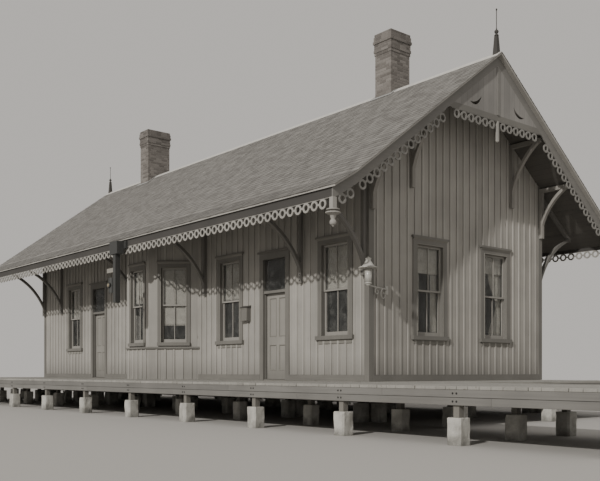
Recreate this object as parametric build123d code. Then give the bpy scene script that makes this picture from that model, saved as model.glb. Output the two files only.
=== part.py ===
from build123d import *
import math
import os

# Wooden wayside station building on piers, with a timber platform along its track side.
# Frame: +X along the building towards its near gable, +Y away from the track, +Z up.
# The origin is on the ground, under the middle of the whole thing. Millimetres.

# Building
station_length = 17020
station_width = 6240
wall_t = 150
ridge_height = 7420
eave_height = 3740
eave_overhang = 1915
gable_overhang = 1080
kick_run = 550
kick_slope = 0.60
roof_t = 170
trim_t = 30
roof_edge_t = 45
verge_proud = 100
drip_proud = 40
fascia_depth = 240
rake_depth = 280
ridge_cap_width = 150
ridge_cap_t = 20

# Platform
deck_top = 855
deck_t = 50
platform_depth = 3020
walkway_depth = 2440
pier_spacing = 2438.4
first_pier_back = 80
near_bays = 3
deck_end = 200
pier_width = 260
pier_height = 400
post_width = 105
stringer_width = 140
stringer_depth = 227
stringer_inset = 30
pier_proud = pier_width / 2 - stringer_width / 2 - stringer_inset

# Floor frame of the building
joist_depth = 200
joist_width = 60
joist_spacing = 610
sill_width = 200
building_pier_width = 360
building_pier_count = 8
skirt_t = 30

# Places along the track wall: middles, each measured from the one before it
window_1_from_corner = 1065
door_1_from_window = 2175
window_2_from_door = 1865
bay_from_window = 3090
door_2_from_bay = 4405
window_3_from_door = 1820
back_window_count = 5
gable_window_offset = 1200

# Windows
window_width = 920
window_sill = 980
window_head = 3080
casing_width = 110
casing_t = 25
head_board = 120
cap_height = 45
cap_proud = 40
window_board_t = 60
window_board_proud = 70
liner_t = 30
sash_t = 35
sash_face = 45
stile_width = 50
meeting_rail = 40
bottom_rail = 90
muntin_width = 24
muntin_t = 20
glass_t = 4
cut_over = 100

# Bay
bay_front_width = 1250
bay_projection = 990
bay_wall_t = 120
bay_head = 3250
bay_window_width = 760
bay_casing_width = 75
bay_ledge_height = 890
bay_ledge_t = 50
bay_ledge_proud = 55

# Doors
leaf_width = 850
leaf_height = 2080
leaf_t = 45
leaf_inset = 5
door_gap = 7
door_liner_t = 35
threshold_t = 20
transom_bar = 65
transom_top = 2980
stop_width = 15
stop_gap = 5
stop_depth = 50
panel_margin = 110
panel_sink = 12
lower_panel_bottom = 220
lower_panel_top = 830
upper_panel_bottom = 1040
knob_r = 27
knob_reach = 60
knob_height = 930
knob_inset = 62
hinge_heights = (220, 1080, 1900)
knuckle_r = 6
knuckle_length = 45
pin_r = 3
pin_gap = 0.3
hinge_plate_t = 3
hinge_plate_width = 30

# Trim
corner_board_width = 120
base_board_height = 140
ring_outer_r = 100
ring_hole_r = 58
ring_pitch = 245
ring_t = 22
ring_rail = 12
link_height = 40
screen_drop = 1540
collar_depth = 130
moon_offset = 750
moon_drop = 1270
moon_chord = 440
moon_sag = 130
moon_t = 70
moon_tilt = 25
pendant_width = 100
pendant_arm = 146
corner_pendant_length = 570
collar_pendant_width = 80
collar_pendant_length = 480

# Brackets
bracket_t = 95
bracket_from_corner = 95
bracket_before_door = 1050
bracket_beside_bay = 340
bracket_after_window = 1030
eave_foot = 2250
eave_reach = 1480
gable_corner_foot = 3650
gable_middle_foot = 4280
gable_middle_offset = 1300
gable_arm_gap = 60
bracket_leg = 90
bracket_arm = 100
brace_t = 85

# Chimneys
chimney_length = 560
chimney_near_faces = (2250, 14300)
chimney_depths = (690, 890)
chimney_aheads = (120, 340)
chimney_rises = (1565, 1675)
cap_courses = ((15, 75), (30, 75), (20, 150), (45, 75), (30, 110), (15, 75))
flue_width = 190
flue_depth = 900

# Finials
finial_width = 140
finial_height = 420
finial_back = 140
rod_r = 9
rod_length = 610

# Fittings
lamp_out = 200
lamp_side = 220
lamp_bottom = 2020
lamp_body_height = 350
lamp_body_r = 94
lamp_brim_r = 205
lamp_brim_t = 12
lamp_hood_height = 240
lamp_arm_start = 510
lamp_arm_height = 1970
lamp_arm_t = 26
box_middle = 4350
box_bottom = 1480
box_width = 290
box_height = 330
box_depth = 120
signal_middle = 7350
signal_drop = 40
signal_length = 1600
signal_plate = (620, 60, 190)
signal_housing = (420, 200, 330)
signal_mast = 140
signal_blade = (450, 30, 110)
signal_blade_drop = 670
signal_lamp_r = 95
signal_lamp_height = 400
signal_lamp_drop = 930
signal_lamp_side = 250
signal_lamp_hook = 30

# Places worked out from the sizes above
window_1 = window_1_from_corner
door_1 = window_1 + door_1_from_window
window_2 = door_1 + window_2_from_door
bay_middle = window_2 + bay_from_window
door_2 = bay_middle + door_2_from_bay
window_3 = door_2 + window_3_from_door
track_windows = (window_1, window_2, window_3)
door_middles = (door_1, door_2)
back_pitch = station_length / back_window_count
back_windows = [(k + 0.5) * back_pitch for k in range(back_window_count)]
bay_foot = bay_front_width / 2 + bay_projection
far_length = station_length + walkway_depth - first_pier_back - deck_end
far_bays = math.ceil(far_length / pier_spacing)
back_reach = eave_overhang + pendant_arm - pendant_width / 2
front_to_back = platform_depth + pier_proud + station_width + back_reach
track_y = platform_depth + pier_proud - front_to_back / 2
back_y = track_y + station_width
ridge_y = (track_y + back_y) / 2
platform_front_y = track_y - platform_depth
near_run = near_bays * pier_spacing - first_pier_back + deck_end
far_run = far_bays * pier_spacing + first_pier_back + deck_end
near_x = far_run / 2 - near_run / 2
far_x = near_x - station_length
platform_near_x = near_x + near_run
platform_far_x = near_x - far_run
roof_half = station_width / 2 + eave_overhang
ridge_z = deck_top + ridge_height
eave_z = deck_top + eave_height
kick_u = roof_half - kick_run
kick_z = eave_z + kick_run * kick_slope
main_slope = (ridge_z - kick_z) / kick_u
roof_near_x = near_x + gable_overhang
roof_far_x = far_x - gable_overhang
rake_near_x = roof_near_x - verge_proud
rake_far_x = roof_far_x + verge_proud
gable_reach = gable_overhang - verge_proud - trim_t - gable_arm_gap
stringer_bottom = deck_top - deck_t - stringer_depth
fascia_bottom = eave_z - fascia_depth
stacks = list(zip(chimney_near_faces, chimney_depths, chimney_aheads, chimney_rises))
collar_z = ridge_z - screen_drop
leaf_face = wall_t - leaf_inset - leaf_t
door_opening = leaf_width + 2 * door_gap + 2 * door_liner_t
door_head = deck_top + threshold_t + door_gap + leaf_height + door_gap


def block(x0, x1, y0, y1, z0, z1):
    """A box between two corners."""
    middle = Pos((x0 + x1) / 2, (y0 + y1) / 2, (z0 + z1) / 2)
    return middle * Box(x1 - x0, y1 - y0, z1 - z0)


def prism_along_x(points, x0, x1):
    """A section given as (y, z) points, run from x0 to x1."""
    section = Plane.YZ.offset(x0) * make_face(Polyline(*points, close=True))
    return extrude(section, amount=x1 - x0, dir=(1, 0, 0))


def prism_up(points, z0, z1):
    """A plan given as (x, y) points, run from z0 to z1."""
    plan = Plane.XY.offset(z0) * make_face(Polyline(*points, close=True))
    return extrude(plan, amount=z1 - z0, dir=(0, 0, 1))


def write(name, pieces):
    """Writes one node, made of one or more closed solids."""
    solids = []
    for piece in pieces:
        solids.extend(piece.solids())
    shape = solids[0] if len(solids) == 1 else Compound(solids)
    export_step(shape, f"parts/{name}.step")


def along(distance):
    """The x at a distance from the near corner of the building."""
    return near_x - distance


def roof_z(y, drop=0):
    """Height of the roof's top at y, or of a surface that lies below it by drop."""
    u = abs(y - ridge_y)
    if u <= kick_u:
        return ridge_z - main_slope * u - drop
    return kick_z - kick_slope * (u - kick_u) - drop


def slope_points(side, u_end, top_drop, bottom_drop):
    """Section of a layer of one roof slope; side is -1 towards the track and +1 away from it."""
    reach = [0, kick_u, u_end]
    ys = [ridge_y + side * u for u in reach]
    top = [(y, roof_z(y, top_drop)) for y in ys]
    bottom = [(y, roof_z(y, bottom_drop)) for y in reversed(ys)]
    return top + bottom


def under_roof():
    """All the space between the floor and the underside of the roof."""
    space = []
    for side in (-1, 1):
        corners = [(ridge_y, deck_top), (ridge_y, roof_z(ridge_y, roof_t))]
        kick_y = ridge_y + side * kick_u
        tip_y = ridge_y + side * roof_half
        corners.append((kick_y, roof_z(kick_y, roof_t)))
        corners.append((tip_y, roof_z(tip_y, roof_t)))
        corners.append((tip_y, deck_top))
        space.append(prism_along_x(corners, roof_far_x, roof_near_x))
    return space[0] + space[1]


def wall_place(side, distance):
    """Puts a piece made in a wall's own frame (x along, y inwards, z up) onto its wall."""
    if side == "track":
        return Pos(along(distance), track_y, 0)
    if side == "back":
        return Pos(along(distance), back_y, 0) * Rot(0, 0, 180)
    if side == "near":
        return Pos(near_x, track_y + distance, 0) * Rot(0, 0, 90)
    return Pos(far_x, track_y + distance, 0) * Rot(0, 0, -90)


def bay_places():
    """Places of the bay's faces, near side, front and far side; the sides turn by 45 degrees."""
    shift = bay_front_width / 2 + bay_projection / 2
    side_y = track_y - bay_projection / 2
    return [
        Pos(along(bay_middle - shift), side_y, 0) * Rot(0, 0, 45),
        Pos(along(bay_middle), track_y - bay_projection, 0),
        Pos(along(bay_middle + shift), side_y, 0) * Rot(0, 0, -45),
    ]


def window_places():
    """Every window's place, by the wall it is in."""
    middle = station_width / 2
    offsets = (middle - gable_window_offset, middle + gable_window_offset)
    return {
        "track": [wall_place("track", d) for d in track_windows],
        "back": [wall_place("back", d) for d in back_windows],
        "near": [wall_place("near", d) for d in offsets],
        "far": [wall_place("far", d) for d in offsets],
        "bay": bay_places(),
    }


def window_cutter(width, depth):
    """What a window takes out of its wall."""
    return block(-width / 2, width / 2, -cut_over, depth + cut_over,
                 deck_top + window_sill, deck_top + window_head)


def window_frame(width, casing, depth, lip):
    """Liner, casing, sill board and cap of a window; lip is how far sill and cap pass the casing."""
    bottom = deck_top + window_sill
    top = deck_top + window_head
    half = width / 2
    inner = half - liner_t
    liner = block(-half, half, 0, depth, bottom, top)
    liner -= block(-inner, inner, -cut_over, depth + cut_over, bottom + liner_t, top - liner_t)
    outer = half + casing
    frame = liner
    for side in (-1, 1):
        edges = sorted((side * inner, side * outer))
        frame += block(edges[0], edges[1], -casing_t, 0, bottom, top)
    frame += block(-outer, outer, -casing_t, 0, top - liner_t, top + head_board)
    cap_bottom = top + head_board
    wide = outer + lip
    frame += block(-wide, wide, -casing_t - cap_proud, 0, cap_bottom, cap_bottom + cap_height)
    frame += block(-wide, wide, -window_board_proud, 0, bottom - window_board_t, bottom + liner_t)
    return frame


def sash(width, z0, z1, face, low_rail, high_rail):
    """One sash with a muntin down its middle, and its glass."""
    half = width / 2
    open_half = half - stile_width
    open_bottom = z0 + low_rail
    open_top = z1 - high_rail
    wood = block(-half, half, face, face + sash_t, z0, z1)
    wood -= block(-open_half, open_half, face - cut_over, face + sash_t + cut_over, open_bottom, open_top)
    bar = muntin_width / 2
    wood += block(-bar, bar, face, face + muntin_t, open_bottom, open_top)
    back = face + muntin_t
    glass = block(-open_half, open_half, back, back + glass_t, open_bottom, open_top)
    return wood, glass


def window_sashes(width):
    """Upper and lower sash of a window with their glass; the lower one runs inside the upper."""
    inner = width - 2 * liner_t
    bottom = deck_top + window_sill + liner_t
    top = deck_top + window_head - liner_t
    middle = (bottom + top) / 2
    half_rail = meeting_rail / 2
    upper = sash(inner, middle - half_rail, top, sash_face, meeting_rail, stile_width)
    lower_face = sash_face + sash_t
    lower = sash(inner, bottom, middle + half_rail, lower_face, bottom_rail, meeting_rail)
    return [upper, lower]


def build_platform():
    """Deck on stringers, short posts and stone piers, along the track and round both ends."""
    x_near = near_x - first_pier_back
    columns = [x_near + (near_bays - k) * pier_spacing for k in range(near_bays + far_bays + 1)]
    front_row = platform_front_y + stringer_inset + stringer_width / 2
    rear_row = track_y - skirt_t - pier_width / 2
    strip_rows = [front_row, (front_row + rear_row) / 2, rear_row]
    walk_first = track_y + pier_width / 2
    walk_last = back_y - pier_width / 2
    walk_rows = [walk_first, (walk_first + walk_last) / 2, walk_last]
    walk_near = near_x + walkway_depth
    walk_far = far_x - walkway_depth
    inset = pier_width / 2
    walk_columns = [near_x + skirt_t + inset, walk_near - inset, far_x - skirt_t - inset, walk_far + inset]
    feet = [(x, y) for x in columns for y in strip_rows]
    feet += [(x, y) for x in walk_columns for y in walk_rows]

    half_pier = pier_width / 2
    half_post = post_width / 2
    piers = []
    posts = []
    for x, y in feet:
        piers.append(block(x - half_pier, x + half_pier, y - half_pier, y + half_pier, 0, pier_height))
        posts.append(block(x - half_post, x + half_post, y - half_post, y + half_post,
                           pier_height, stringer_bottom))
    half_stringer = stringer_width / 2
    stringer_top = stringer_bottom + stringer_depth
    stringers = []
    for y in strip_rows:
        stringers.append(block(platform_far_x + stringer_inset, platform_near_x - stringer_inset,
                               y - half_stringer, y + half_stringer, stringer_bottom, stringer_top))
    for y in walk_rows:
        stringers.append(block(near_x + skirt_t, walk_near - stringer_inset,
                               y - half_stringer, y + half_stringer, stringer_bottom, stringer_top))
        stringers.append(block(walk_far + stringer_inset, far_x - skirt_t,
                               y - half_stringer, y + half_stringer, stringer_bottom, stringer_top))
    write("platform_piers", piers)
    write("platform_posts", posts)
    write("platform_stringers", stringers)
    deck = block(platform_far_x, platform_near_x, platform_front_y, track_y, stringer_top, deck_top)
    write("platform_deck", [deck])
    walks = [block(near_x, walk_near, track_y, back_y, stringer_top, deck_top),
             block(walk_far, far_x, track_y, back_y, stringer_top, deck_top)]
    write("end_walkways", walks)


def build_base():
    """Stone piers, sills, joists, skirt boards and floor of the building."""
    floor_bottom = deck_top - deck_t
    joist_bottom = floor_bottom - joist_depth
    half = building_pier_width / 2
    rows = [track_y + sill_width / 2, ridge_y, back_y - sill_width / 2]
    first = near_x - half
    pitch = (station_length - building_pier_width) / (building_pier_count - 1)
    piers = []
    for k in range(building_pier_count):
        x = first - k * pitch
        for row in rows:
            y = min(max(row, track_y + half), back_y - half)
            piers.append(block(x - half, x + half, y - half, y + half, 0, pier_height))
    write("building_piers", piers)
    sills = []
    for y in rows:
        sills.append(block(far_x, near_x, y - sill_width / 2, y + sill_width / 2,
                           pier_height, joist_bottom))
    write("sill_beams", sills)
    count = int((station_length - joist_width) // joist_spacing)
    step = (station_length - joist_width) / count
    joists = []
    for k in range(count + 1):
        x = near_x - joist_width - k * step
        joists.append(block(x, x + joist_width, track_y, back_y, joist_bottom, floor_bottom))
    write("floor_joists", joists)
    skirts = [
        block(far_x, near_x, track_y - skirt_t, track_y, pier_height, floor_bottom),
        block(far_x, near_x, back_y, back_y + skirt_t, pier_height, floor_bottom),
        block(near_x, near_x + skirt_t, track_y, back_y, pier_height, floor_bottom),
        block(far_x - skirt_t, far_x, track_y, back_y, pier_height, floor_bottom),
    ]
    write("skirt_boards", skirts)
    write("floor_boards", [block(far_x, near_x, track_y, back_y, floor_bottom, deck_top)])


def wall_slab(side, d0, d1, z0, space):
    """A stretch of a long wall between two distances from the near corner, up to the roof."""
    y0 = track_y if side == "track" else back_y - wall_t
    return block(along(d1), along(d0), y0, y0 + wall_t, z0, ridge_z) & space


def build_walls(space, places):
    """The four walls; the track wall is split beside and over its doorways and its bay."""
    half_door = door_opening / 2
    bay_jamb = bay_foot - bay_wall_t * math.sqrt(2)
    stretches = {
        "track_wall_near": (wall_t, door_middles[0] - half_door),
        "track_wall_mid_near": (door_middles[0] + half_door, bay_middle - bay_jamb),
        "track_wall_mid_far": (bay_middle + bay_jamb, door_middles[1] - half_door),
        "track_wall_far": (door_middles[1] + half_door, station_length - wall_t),
    }
    cutter = window_cutter(window_width, wall_t)
    for name, (d0, d1) in stretches.items():
        wall = wall_slab("track", d0, d1, deck_top, space)
        for place, middle in zip(places["track"], track_windows):
            if d0 < middle < d1:
                wall -= place * cutter
        write(name, [wall])
    heads = []
    for middle in door_middles:
        heads.append(wall_slab("track", middle - half_door, middle + half_door,
                               deck_top + transom_top, space))
    write("door_head_walls", heads)
    header = wall_slab("track", bay_middle - bay_jamb, bay_middle + bay_jamb,
                       deck_top + bay_head, space)
    write("bay_header", [header])
    back = wall_slab("back", wall_t, station_length - wall_t, deck_top, space)
    for place in places["back"]:
        back -= place * cutter
    write("back_wall", [back])
    for name, x0 in (("near", near_x - wall_t), ("far", far_x)):
        gable = block(x0, x0 + wall_t, track_y, back_y, deck_top, ridge_z) & space
        for place in places[name]:
            gable -= place * cutter
        write(f"{name}_gable_wall", [gable])


def bay_outline(offset, wall_line):
    """Corners of the bay's plan, pushed out by offset, from the near side round to the far side."""
    turn = offset * math.tan(math.radians(22.5))
    front_half = bay_front_width / 2 + turn
    front_y = track_y - bay_projection - offset
    foot_half = front_half + (wall_line - front_y)
    return [
        (along(bay_middle - foot_half), wall_line),
        (along(bay_middle - front_half), front_y),
        (along(bay_middle + front_half), front_y),
        (along(bay_middle + foot_half), wall_line),
    ]


def bay_ring(outer, inner, z0, z1):
    """Three mitred pieces between two outlines of the bay."""
    pieces = []
    for k in range(3):
        corners = [outer[k], outer[k + 1], inner[k + 1], inner[k]]
        pieces.append(prism_up(corners, z0, z1))
    return pieces


def build_bay(space, places):
    """Three walls of the bay, up to the roof over it, and the ledge under its windows."""
    outer = bay_outline(0, track_y)
    inner = bay_outline(-bay_wall_t, track_y)
    cutter = window_cutter(bay_window_width, bay_wall_t)
    walls = []
    for wall, place in zip(bay_ring(outer, inner, deck_top, ridge_z), places["bay"]):
        walls.append((wall & space) - place * cutter)
    write("bay_side_walls", [walls[0], walls[2]])
    write("bay_front_wall", [walls[1]])
    ledge_z = deck_top + bay_ledge_height
    edge = bay_outline(bay_ledge_proud, track_y)
    write("bay_ledge", bay_ring(edge, outer, ledge_z - bay_ledge_t, ledge_z))


def build_windows(places):
    """Frames by side, and every sash and pane."""
    frame = window_frame(window_width, casing_width, wall_t, cap_proud)
    write("track_window_frames", [place * frame for place in places["track"]])
    write("back_window_frames", [place * frame for place in places["back"]])
    write("gable_window_frames", [place * frame for place in places["near"] + places["far"]])
    bay_frame = window_frame(bay_window_width, bay_casing_width, bay_wall_t, 0)
    write("bay_window_frames", [place * bay_frame for place in places["bay"]])
    wood = []
    glass = []
    for side, side_places in places.items():
        width = bay_window_width if side == "bay" else window_width
        for place in side_places:
            for timber, pane in window_sashes(width):
                wood.append(place * timber)
                glass.append(place * pane)
    write("window_sashes", wood)
    write("window_glass", glass)


def door_frame():
    """Liners, threshold, transom bar, stops and casing round a doorway, with the transom's glass."""
    half = door_opening / 2
    inner = half - door_liner_t
    top = deck_top + transom_top
    frame = block(-half, half, 0, wall_t, deck_top, top)
    sill_top = deck_top + threshold_t
    frame -= block(-inner, inner, -cut_over, wall_t + cut_over, sill_top, door_head)
    bar_top = door_head + transom_bar
    frame -= block(-inner, inner, -cut_over, wall_t + cut_over, bar_top, top - door_liner_t)
    stop_back = leaf_face - stop_gap
    stop_front = stop_back - stop_depth
    for side in (-1, 1):
        edges = sorted((side * inner, side * (inner - stop_width)))
        frame += block(edges[0], edges[1], stop_front, stop_back, sill_top, door_head)
        edges = sorted((side * inner, side * (half + casing_width)))
        frame += block(edges[0], edges[1], -casing_t, 0, deck_top, top)
    frame += block(-inner, inner, stop_front, stop_back, door_head - stop_width, door_head)
    outer = half + casing_width
    frame += block(-outer, outer, -casing_t, 0, top - door_liner_t, top + head_board)
    wide = outer + cap_proud
    cap_bottom = top + head_board
    frame += block(-wide, wide, -casing_t - cap_proud, 0, cap_bottom, cap_bottom + cap_height)
    pane = block(-inner, inner, sash_face, sash_face + glass_t, bar_top, top - door_liner_t)
    return frame, pane


def door_leaf():
    """A leaf with two lower and two upper panels sunk in both faces."""
    half = leaf_width / 2
    bottom = deck_top + threshold_t + door_gap
    leaf = block(-half, half, leaf_face, leaf_face + leaf_t, bottom, bottom + leaf_height)
    middle = panel_margin / 2
    upper_top = leaf_height - panel_margin
    for z0, z1 in ((lower_panel_bottom, lower_panel_top), (upper_panel_bottom, upper_top)):
        for side in (-1, 1):
            edges = sorted((side * middle, side * (half - panel_margin)))
            leaf -= block(edges[0], edges[1], leaf_face, leaf_face + panel_sink, bottom + z0, bottom + z1)
            back = leaf_face + leaf_t
            leaf -= block(edges[0], edges[1], back - panel_sink, back, bottom + z0, bottom + z1)
    return leaf


def door_knobs():
    """A turned knob on each face of the leaf, at its near edge."""
    x = leaf_width / 2 - knob_inset
    z = deck_top + knob_height
    neck_r = knob_r * 0.4
    rose_t = 5
    profile = [(0, 0), (knob_r, 0), (knob_r, rose_t), (neck_r, rose_t), (neck_r, knob_reach * 0.45),
               (knob_r, knob_reach * 0.62), (knob_r, knob_reach * 0.85), (knob_r * 0.6, knob_reach),
               (0, knob_reach)]
    half_section = Plane.XZ * make_face(Polyline(*profile, close=True))
    knob = revolve(half_section, axis=Axis.Z)
    outside = Pos(x, leaf_face, z) * Rot(90, 0, 0) * knob
    inside = Pos(x, leaf_face + leaf_t, z) * Rot(-90, 0, 0) * knob
    return [outside, inside]


def door_hinges():
    """Half hinges of the leaf, and half hinges with pins of the frame, on the leaf's far edge."""
    leaf_edge = -leaf_width / 2
    frame_edge = leaf_edge - door_gap
    x = (leaf_edge + frame_edge) / 2
    y = wall_t + knuckle_r + pin_gap
    leaf_back = leaf_face + leaf_t
    web = knuckle_r + pin_gap
    leaf_halves = []
    frame_halves = []
    for height in hinge_heights:
        z = deck_top + threshold_t + door_gap + height
        low = z + pin_gap
        high = z + knuckle_length
        upper = Pos(x, y, (low + high) / 2) * Cylinder(knuckle_r, high - low)
        upper += block(leaf_edge, leaf_edge + hinge_plate_width, leaf_back, leaf_back + hinge_plate_t,
                       low, high)
        upper += block(leaf_edge, leaf_edge + hinge_plate_t, leaf_back, y, low, high)
        upper -= Pos(x, y, (low + high) / 2) * Cylinder(pin_r + pin_gap, high - low + 2)
        leaf_halves.append(upper)
        low = z - knuckle_length
        lower = Pos(x, y, (low + z) / 2) * Cylinder(knuckle_r, knuckle_length)
        lower += block(frame_edge - hinge_plate_width, frame_edge, wall_t, wall_t + hinge_plate_t, low, z)
        lower += block(frame_edge - hinge_plate_t, frame_edge, wall_t, wall_t + web, low, z)
        lower += Pos(x, y, z + knuckle_length / 2) * Cylinder(pin_r, knuckle_length)
        frame_halves.append(lower)
    return leaf_halves, frame_halves


def build_doors():
    """Two doorways in the track wall, each with a leaf hung at its far edge."""
    frame, pane = door_frame()
    leaf = door_leaf()
    knobs = door_knobs()
    leaf_halves, frame_halves = door_hinges()
    places = [wall_place("track", middle) for middle in door_middles]
    write("door_frames", [place * frame for place in places])
    write("transom_glass", [place * pane for place in places])
    write("door_hinge_pins", [place * half for place in places for half in frame_halves])
    for number, place in enumerate(places, start=1):
        write(f"door_{number}_leaf", [place * leaf])
        write(f"door_{number}_knobs", [place * knob for knob in knobs])
        write(f"door_{number}_hinges", [place * half for half in leaf_halves])


def board_runs():
    """Stretches of the track wall's foot that have a base board."""
    door_half = door_opening / 2 + casing_width
    bay_half = bay_foot
    edges = [
        corner_board_width,
        door_middles[0] - door_half,
        door_middles[0] + door_half,
        bay_middle - bay_half,
        bay_middle + bay_half,
        door_middles[1] - door_half,
        door_middles[1] + door_half,
        station_length - corner_board_width,
    ]
    return list(zip(edges[0::2], edges[1::2]))


def build_boards(space):
    """Corner boards and base boards over the cladding."""
    corners = []
    for x, x_out in ((near_x, 1), (far_x, -1)):
        for y, y_out in ((track_y, -1), (back_y, 1)):
            face_x = x + x_out * casing_t
            face_y = y + y_out * casing_t
            xs = sorted((x - x_out * corner_board_width, face_x))
            ys = sorted((y - y_out * corner_board_width, face_y))
            long_side = sorted((y, face_y))
            end_side = sorted((x, face_x))
            board = block(xs[0], xs[1], long_side[0], long_side[1], deck_top, ridge_z)
            board += block(end_side[0], end_side[1], ys[0], ys[1], deck_top, ridge_z)
            corners.append(board & space)
    write("corner_boards", corners)
    top = deck_top + base_board_height
    boards = []
    for d0, d1 in board_runs():
        boards.append(block(along(d1), along(d0), track_y - trim_t, track_y, deck_top, top))
    inset = corner_board_width
    boards.append(block(far_x + inset, near_x - inset, back_y, back_y + trim_t, deck_top, top))
    boards.append(block(near_x, near_x + trim_t, track_y + inset, back_y - inset, deck_top, top))
    boards.append(block(far_x - trim_t, far_x, track_y + inset, back_y - inset, deck_top, top))
    write("base_boards", boards)


def chimney_box(stack, grow, z0, z1):
    """A block with one chimney's plan, grown on every side."""
    near_face, depth, ahead, _ = stack
    x1 = along(near_face)
    x0 = x1 - chimney_length
    y0 = ridge_y - ahead
    y1 = y0 + depth
    return block(x0 - grow, x1 + grow, y0 - grow, y1 + grow, z0, z1)


def build_roof():
    """Two slopes with their edge boards, ridge cap, fascias and rake boards."""
    x0 = rake_far_x + trim_t
    x1 = rake_near_x - trim_t
    slab_end = roof_half - trim_t
    for name, side in (("front", -1), ("back", 1)):
        write(f"roof_{name}_slope", [prism_along_x(slope_points(side, slab_end, 0, roof_t), x0, x1)])
    verges = []
    drips = []
    for side in (-1, 1):
        section = slope_points(side, roof_half + drip_proud, 0, roof_edge_t)
        verges.append(prism_along_x(section, roof_far_x, x0))
        verges.append(prism_along_x(section, x1, roof_near_x))
        inner = ridge_y + side * slab_end
        outer = ridge_y + side * (roof_half + drip_proud)
        section = [(inner, roof_z(inner)), (outer, roof_z(outer)),
                   (outer, roof_z(outer, roof_edge_t)), (inner, roof_z(inner, roof_edge_t))]
        drips.append(prism_along_x(section, x0, x1))
    write("verge_boards", verges)
    write("drip_boards", drips)
    caps = []
    for side in (-1, 1):
        edge_y = ridge_y + side * ridge_cap_width
        section = [
            (ridge_y, roof_z(ridge_y)),
            (edge_y, roof_z(edge_y)),
            (edge_y, roof_z(edge_y, -ridge_cap_t)),
            (ridge_y, roof_z(ridge_y, -ridge_cap_t)),
        ]
        cap = prism_along_x(section, roof_far_x, roof_near_x)
        for stack in stacks:
            cap -= chimney_box(stack, 0, eave_z, ridge_z + ridge_cap_t)
        caps.append(cap)
    write("ridge_cap", caps)
    fascias = []
    for side in (-1, 1):
        tip = ridge_y + side * roof_half
        inner = ridge_y + side * slab_end
        section = [(tip, fascia_bottom), (inner, fascia_bottom),
                   (inner, roof_z(inner, roof_edge_t)), (tip, roof_z(tip, roof_edge_t))]
        fascias.append(prism_along_x(section, x0, x1))
    write("eave_fascias", fascias)
    rakes = []
    for side in (-1, 1):
        tip = ridge_y + side * roof_half
        kick_y = ridge_y + side * kick_u
        level_y = tip - side * (rake_depth - fascia_depth) / kick_slope
        section = [
            (ridge_y, ridge_z - roof_edge_t),
            (kick_y, kick_z - roof_edge_t),
            (tip, eave_z - roof_edge_t),
            (tip, fascia_bottom),
            (level_y, fascia_bottom),
            (kick_y, kick_z - rake_depth),
            (ridge_y, ridge_z - rake_depth),
        ]
        for x in (rake_far_x, x1):
            rakes.append(prism_along_x(section, x, x + trim_t))
    write("rake_boards", rakes)


def ring_strip(length):
    """A sawn strip of linked rings under a thin rail: along +X from 0, top edge on z = 0, y middle 0."""
    count = int((length - 2 * ring_outer_r) // ring_pitch) + 1
    margin = (length - (count - 1) * ring_pitch) / 2
    strip = Pos(length / 2, -ring_rail / 2) * Rectangle(length, ring_rail)
    middles = [margin + k * ring_pitch for k in range(count)]
    level = -ring_outer_r - ring_rail / 4
    links = Pos((middles[0] + middles[-1]) / 2, level)
    strip += links * Rectangle(middles[-1] - middles[0] + ring_hole_r, link_height)
    discs = [Pos(x, level) * Circle(ring_outer_r) for x in middles]
    strip += discs
    strip -= [Pos(x, level) * Circle(ring_hole_r) for x in middles]
    flat = extrude(strip, amount=ring_t)
    return Pos(0, ring_t / 2, 0) * Rot(90, 0, 0) * flat


def collar_half():
    """Half the collar's length, where its foot meets the lower edge of the rake boards."""
    return (screen_drop - rake_depth) / main_slope


def build_fretwork():
    """Linked rings under both eaves, up the rakes and under the collars."""
    x0 = rake_far_x + pendant_width
    x1 = rake_near_x - pendant_width
    strip = ring_strip(x1 - x0)
    eaves = []
    for side in (-1, 1):
        y = ridge_y + side * (roof_half - trim_t / 2)
        eaves.append(Pos(x0, y, fascia_bottom) * strip)
    write("eave_fretwork", eaves)
    half = collar_half()
    rise = math.atan(main_slope)
    kick_rise = math.atan(kick_slope)
    collar_strip = ring_strip(half - pendant_width - collar_pendant_width / 2)
    rake_strip = ring_strip((kick_u - half - ring_outer_r) / math.cos(rise))
    kick_strip = ring_strip((kick_run - pendant_width) / math.cos(kick_rise) - ring_outer_r / 2)
    rake_z = kick_z - rake_depth
    low_z = rake_z - (kick_run - pendant_width) * kick_slope
    gable = []
    for x in (rake_near_x - trim_t / 2, rake_far_x + trim_t / 2):
        for side in (-1, 1):
            turn = Pos(x, ridge_y, 0) * Rot(0, 0, -side * 90)
            gable.append(turn * Pos(-half + pendant_width, 0, collar_z) * collar_strip)
            climb = turn * Pos(-kick_u, 0, rake_z) * Rot(0, -math.degrees(rise), 0)
            gable.append(climb * rake_strip)
            low = turn * Pos(-kick_u - kick_run + pendant_width, 0, low_z)
            gable.append(low * Rot(0, -math.degrees(kick_rise), 0) * kick_strip)
    write("gable_fretwork", gable)


def moon_cutter():
    """A shallow crescent with its horns up, run through the screen along X, its body's middle at 0."""
    half = moon_chord / 2
    hollow = moon_sag - moon_t
    outer_r = (half ** 2 + moon_sag ** 2) / (2 * moon_sag)
    inner_r = (half ** 2 + hollow ** 2) / (2 * hollow)
    moon = Pos(0, outer_r - moon_t / 2) * Circle(outer_r)
    moon -= Pos(0, inner_r + moon_t / 2) * Circle(inner_r)
    return Plane.YZ.offset(-cut_over) * extrude(moon, amount=trim_t + 2 * cut_over)


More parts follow.
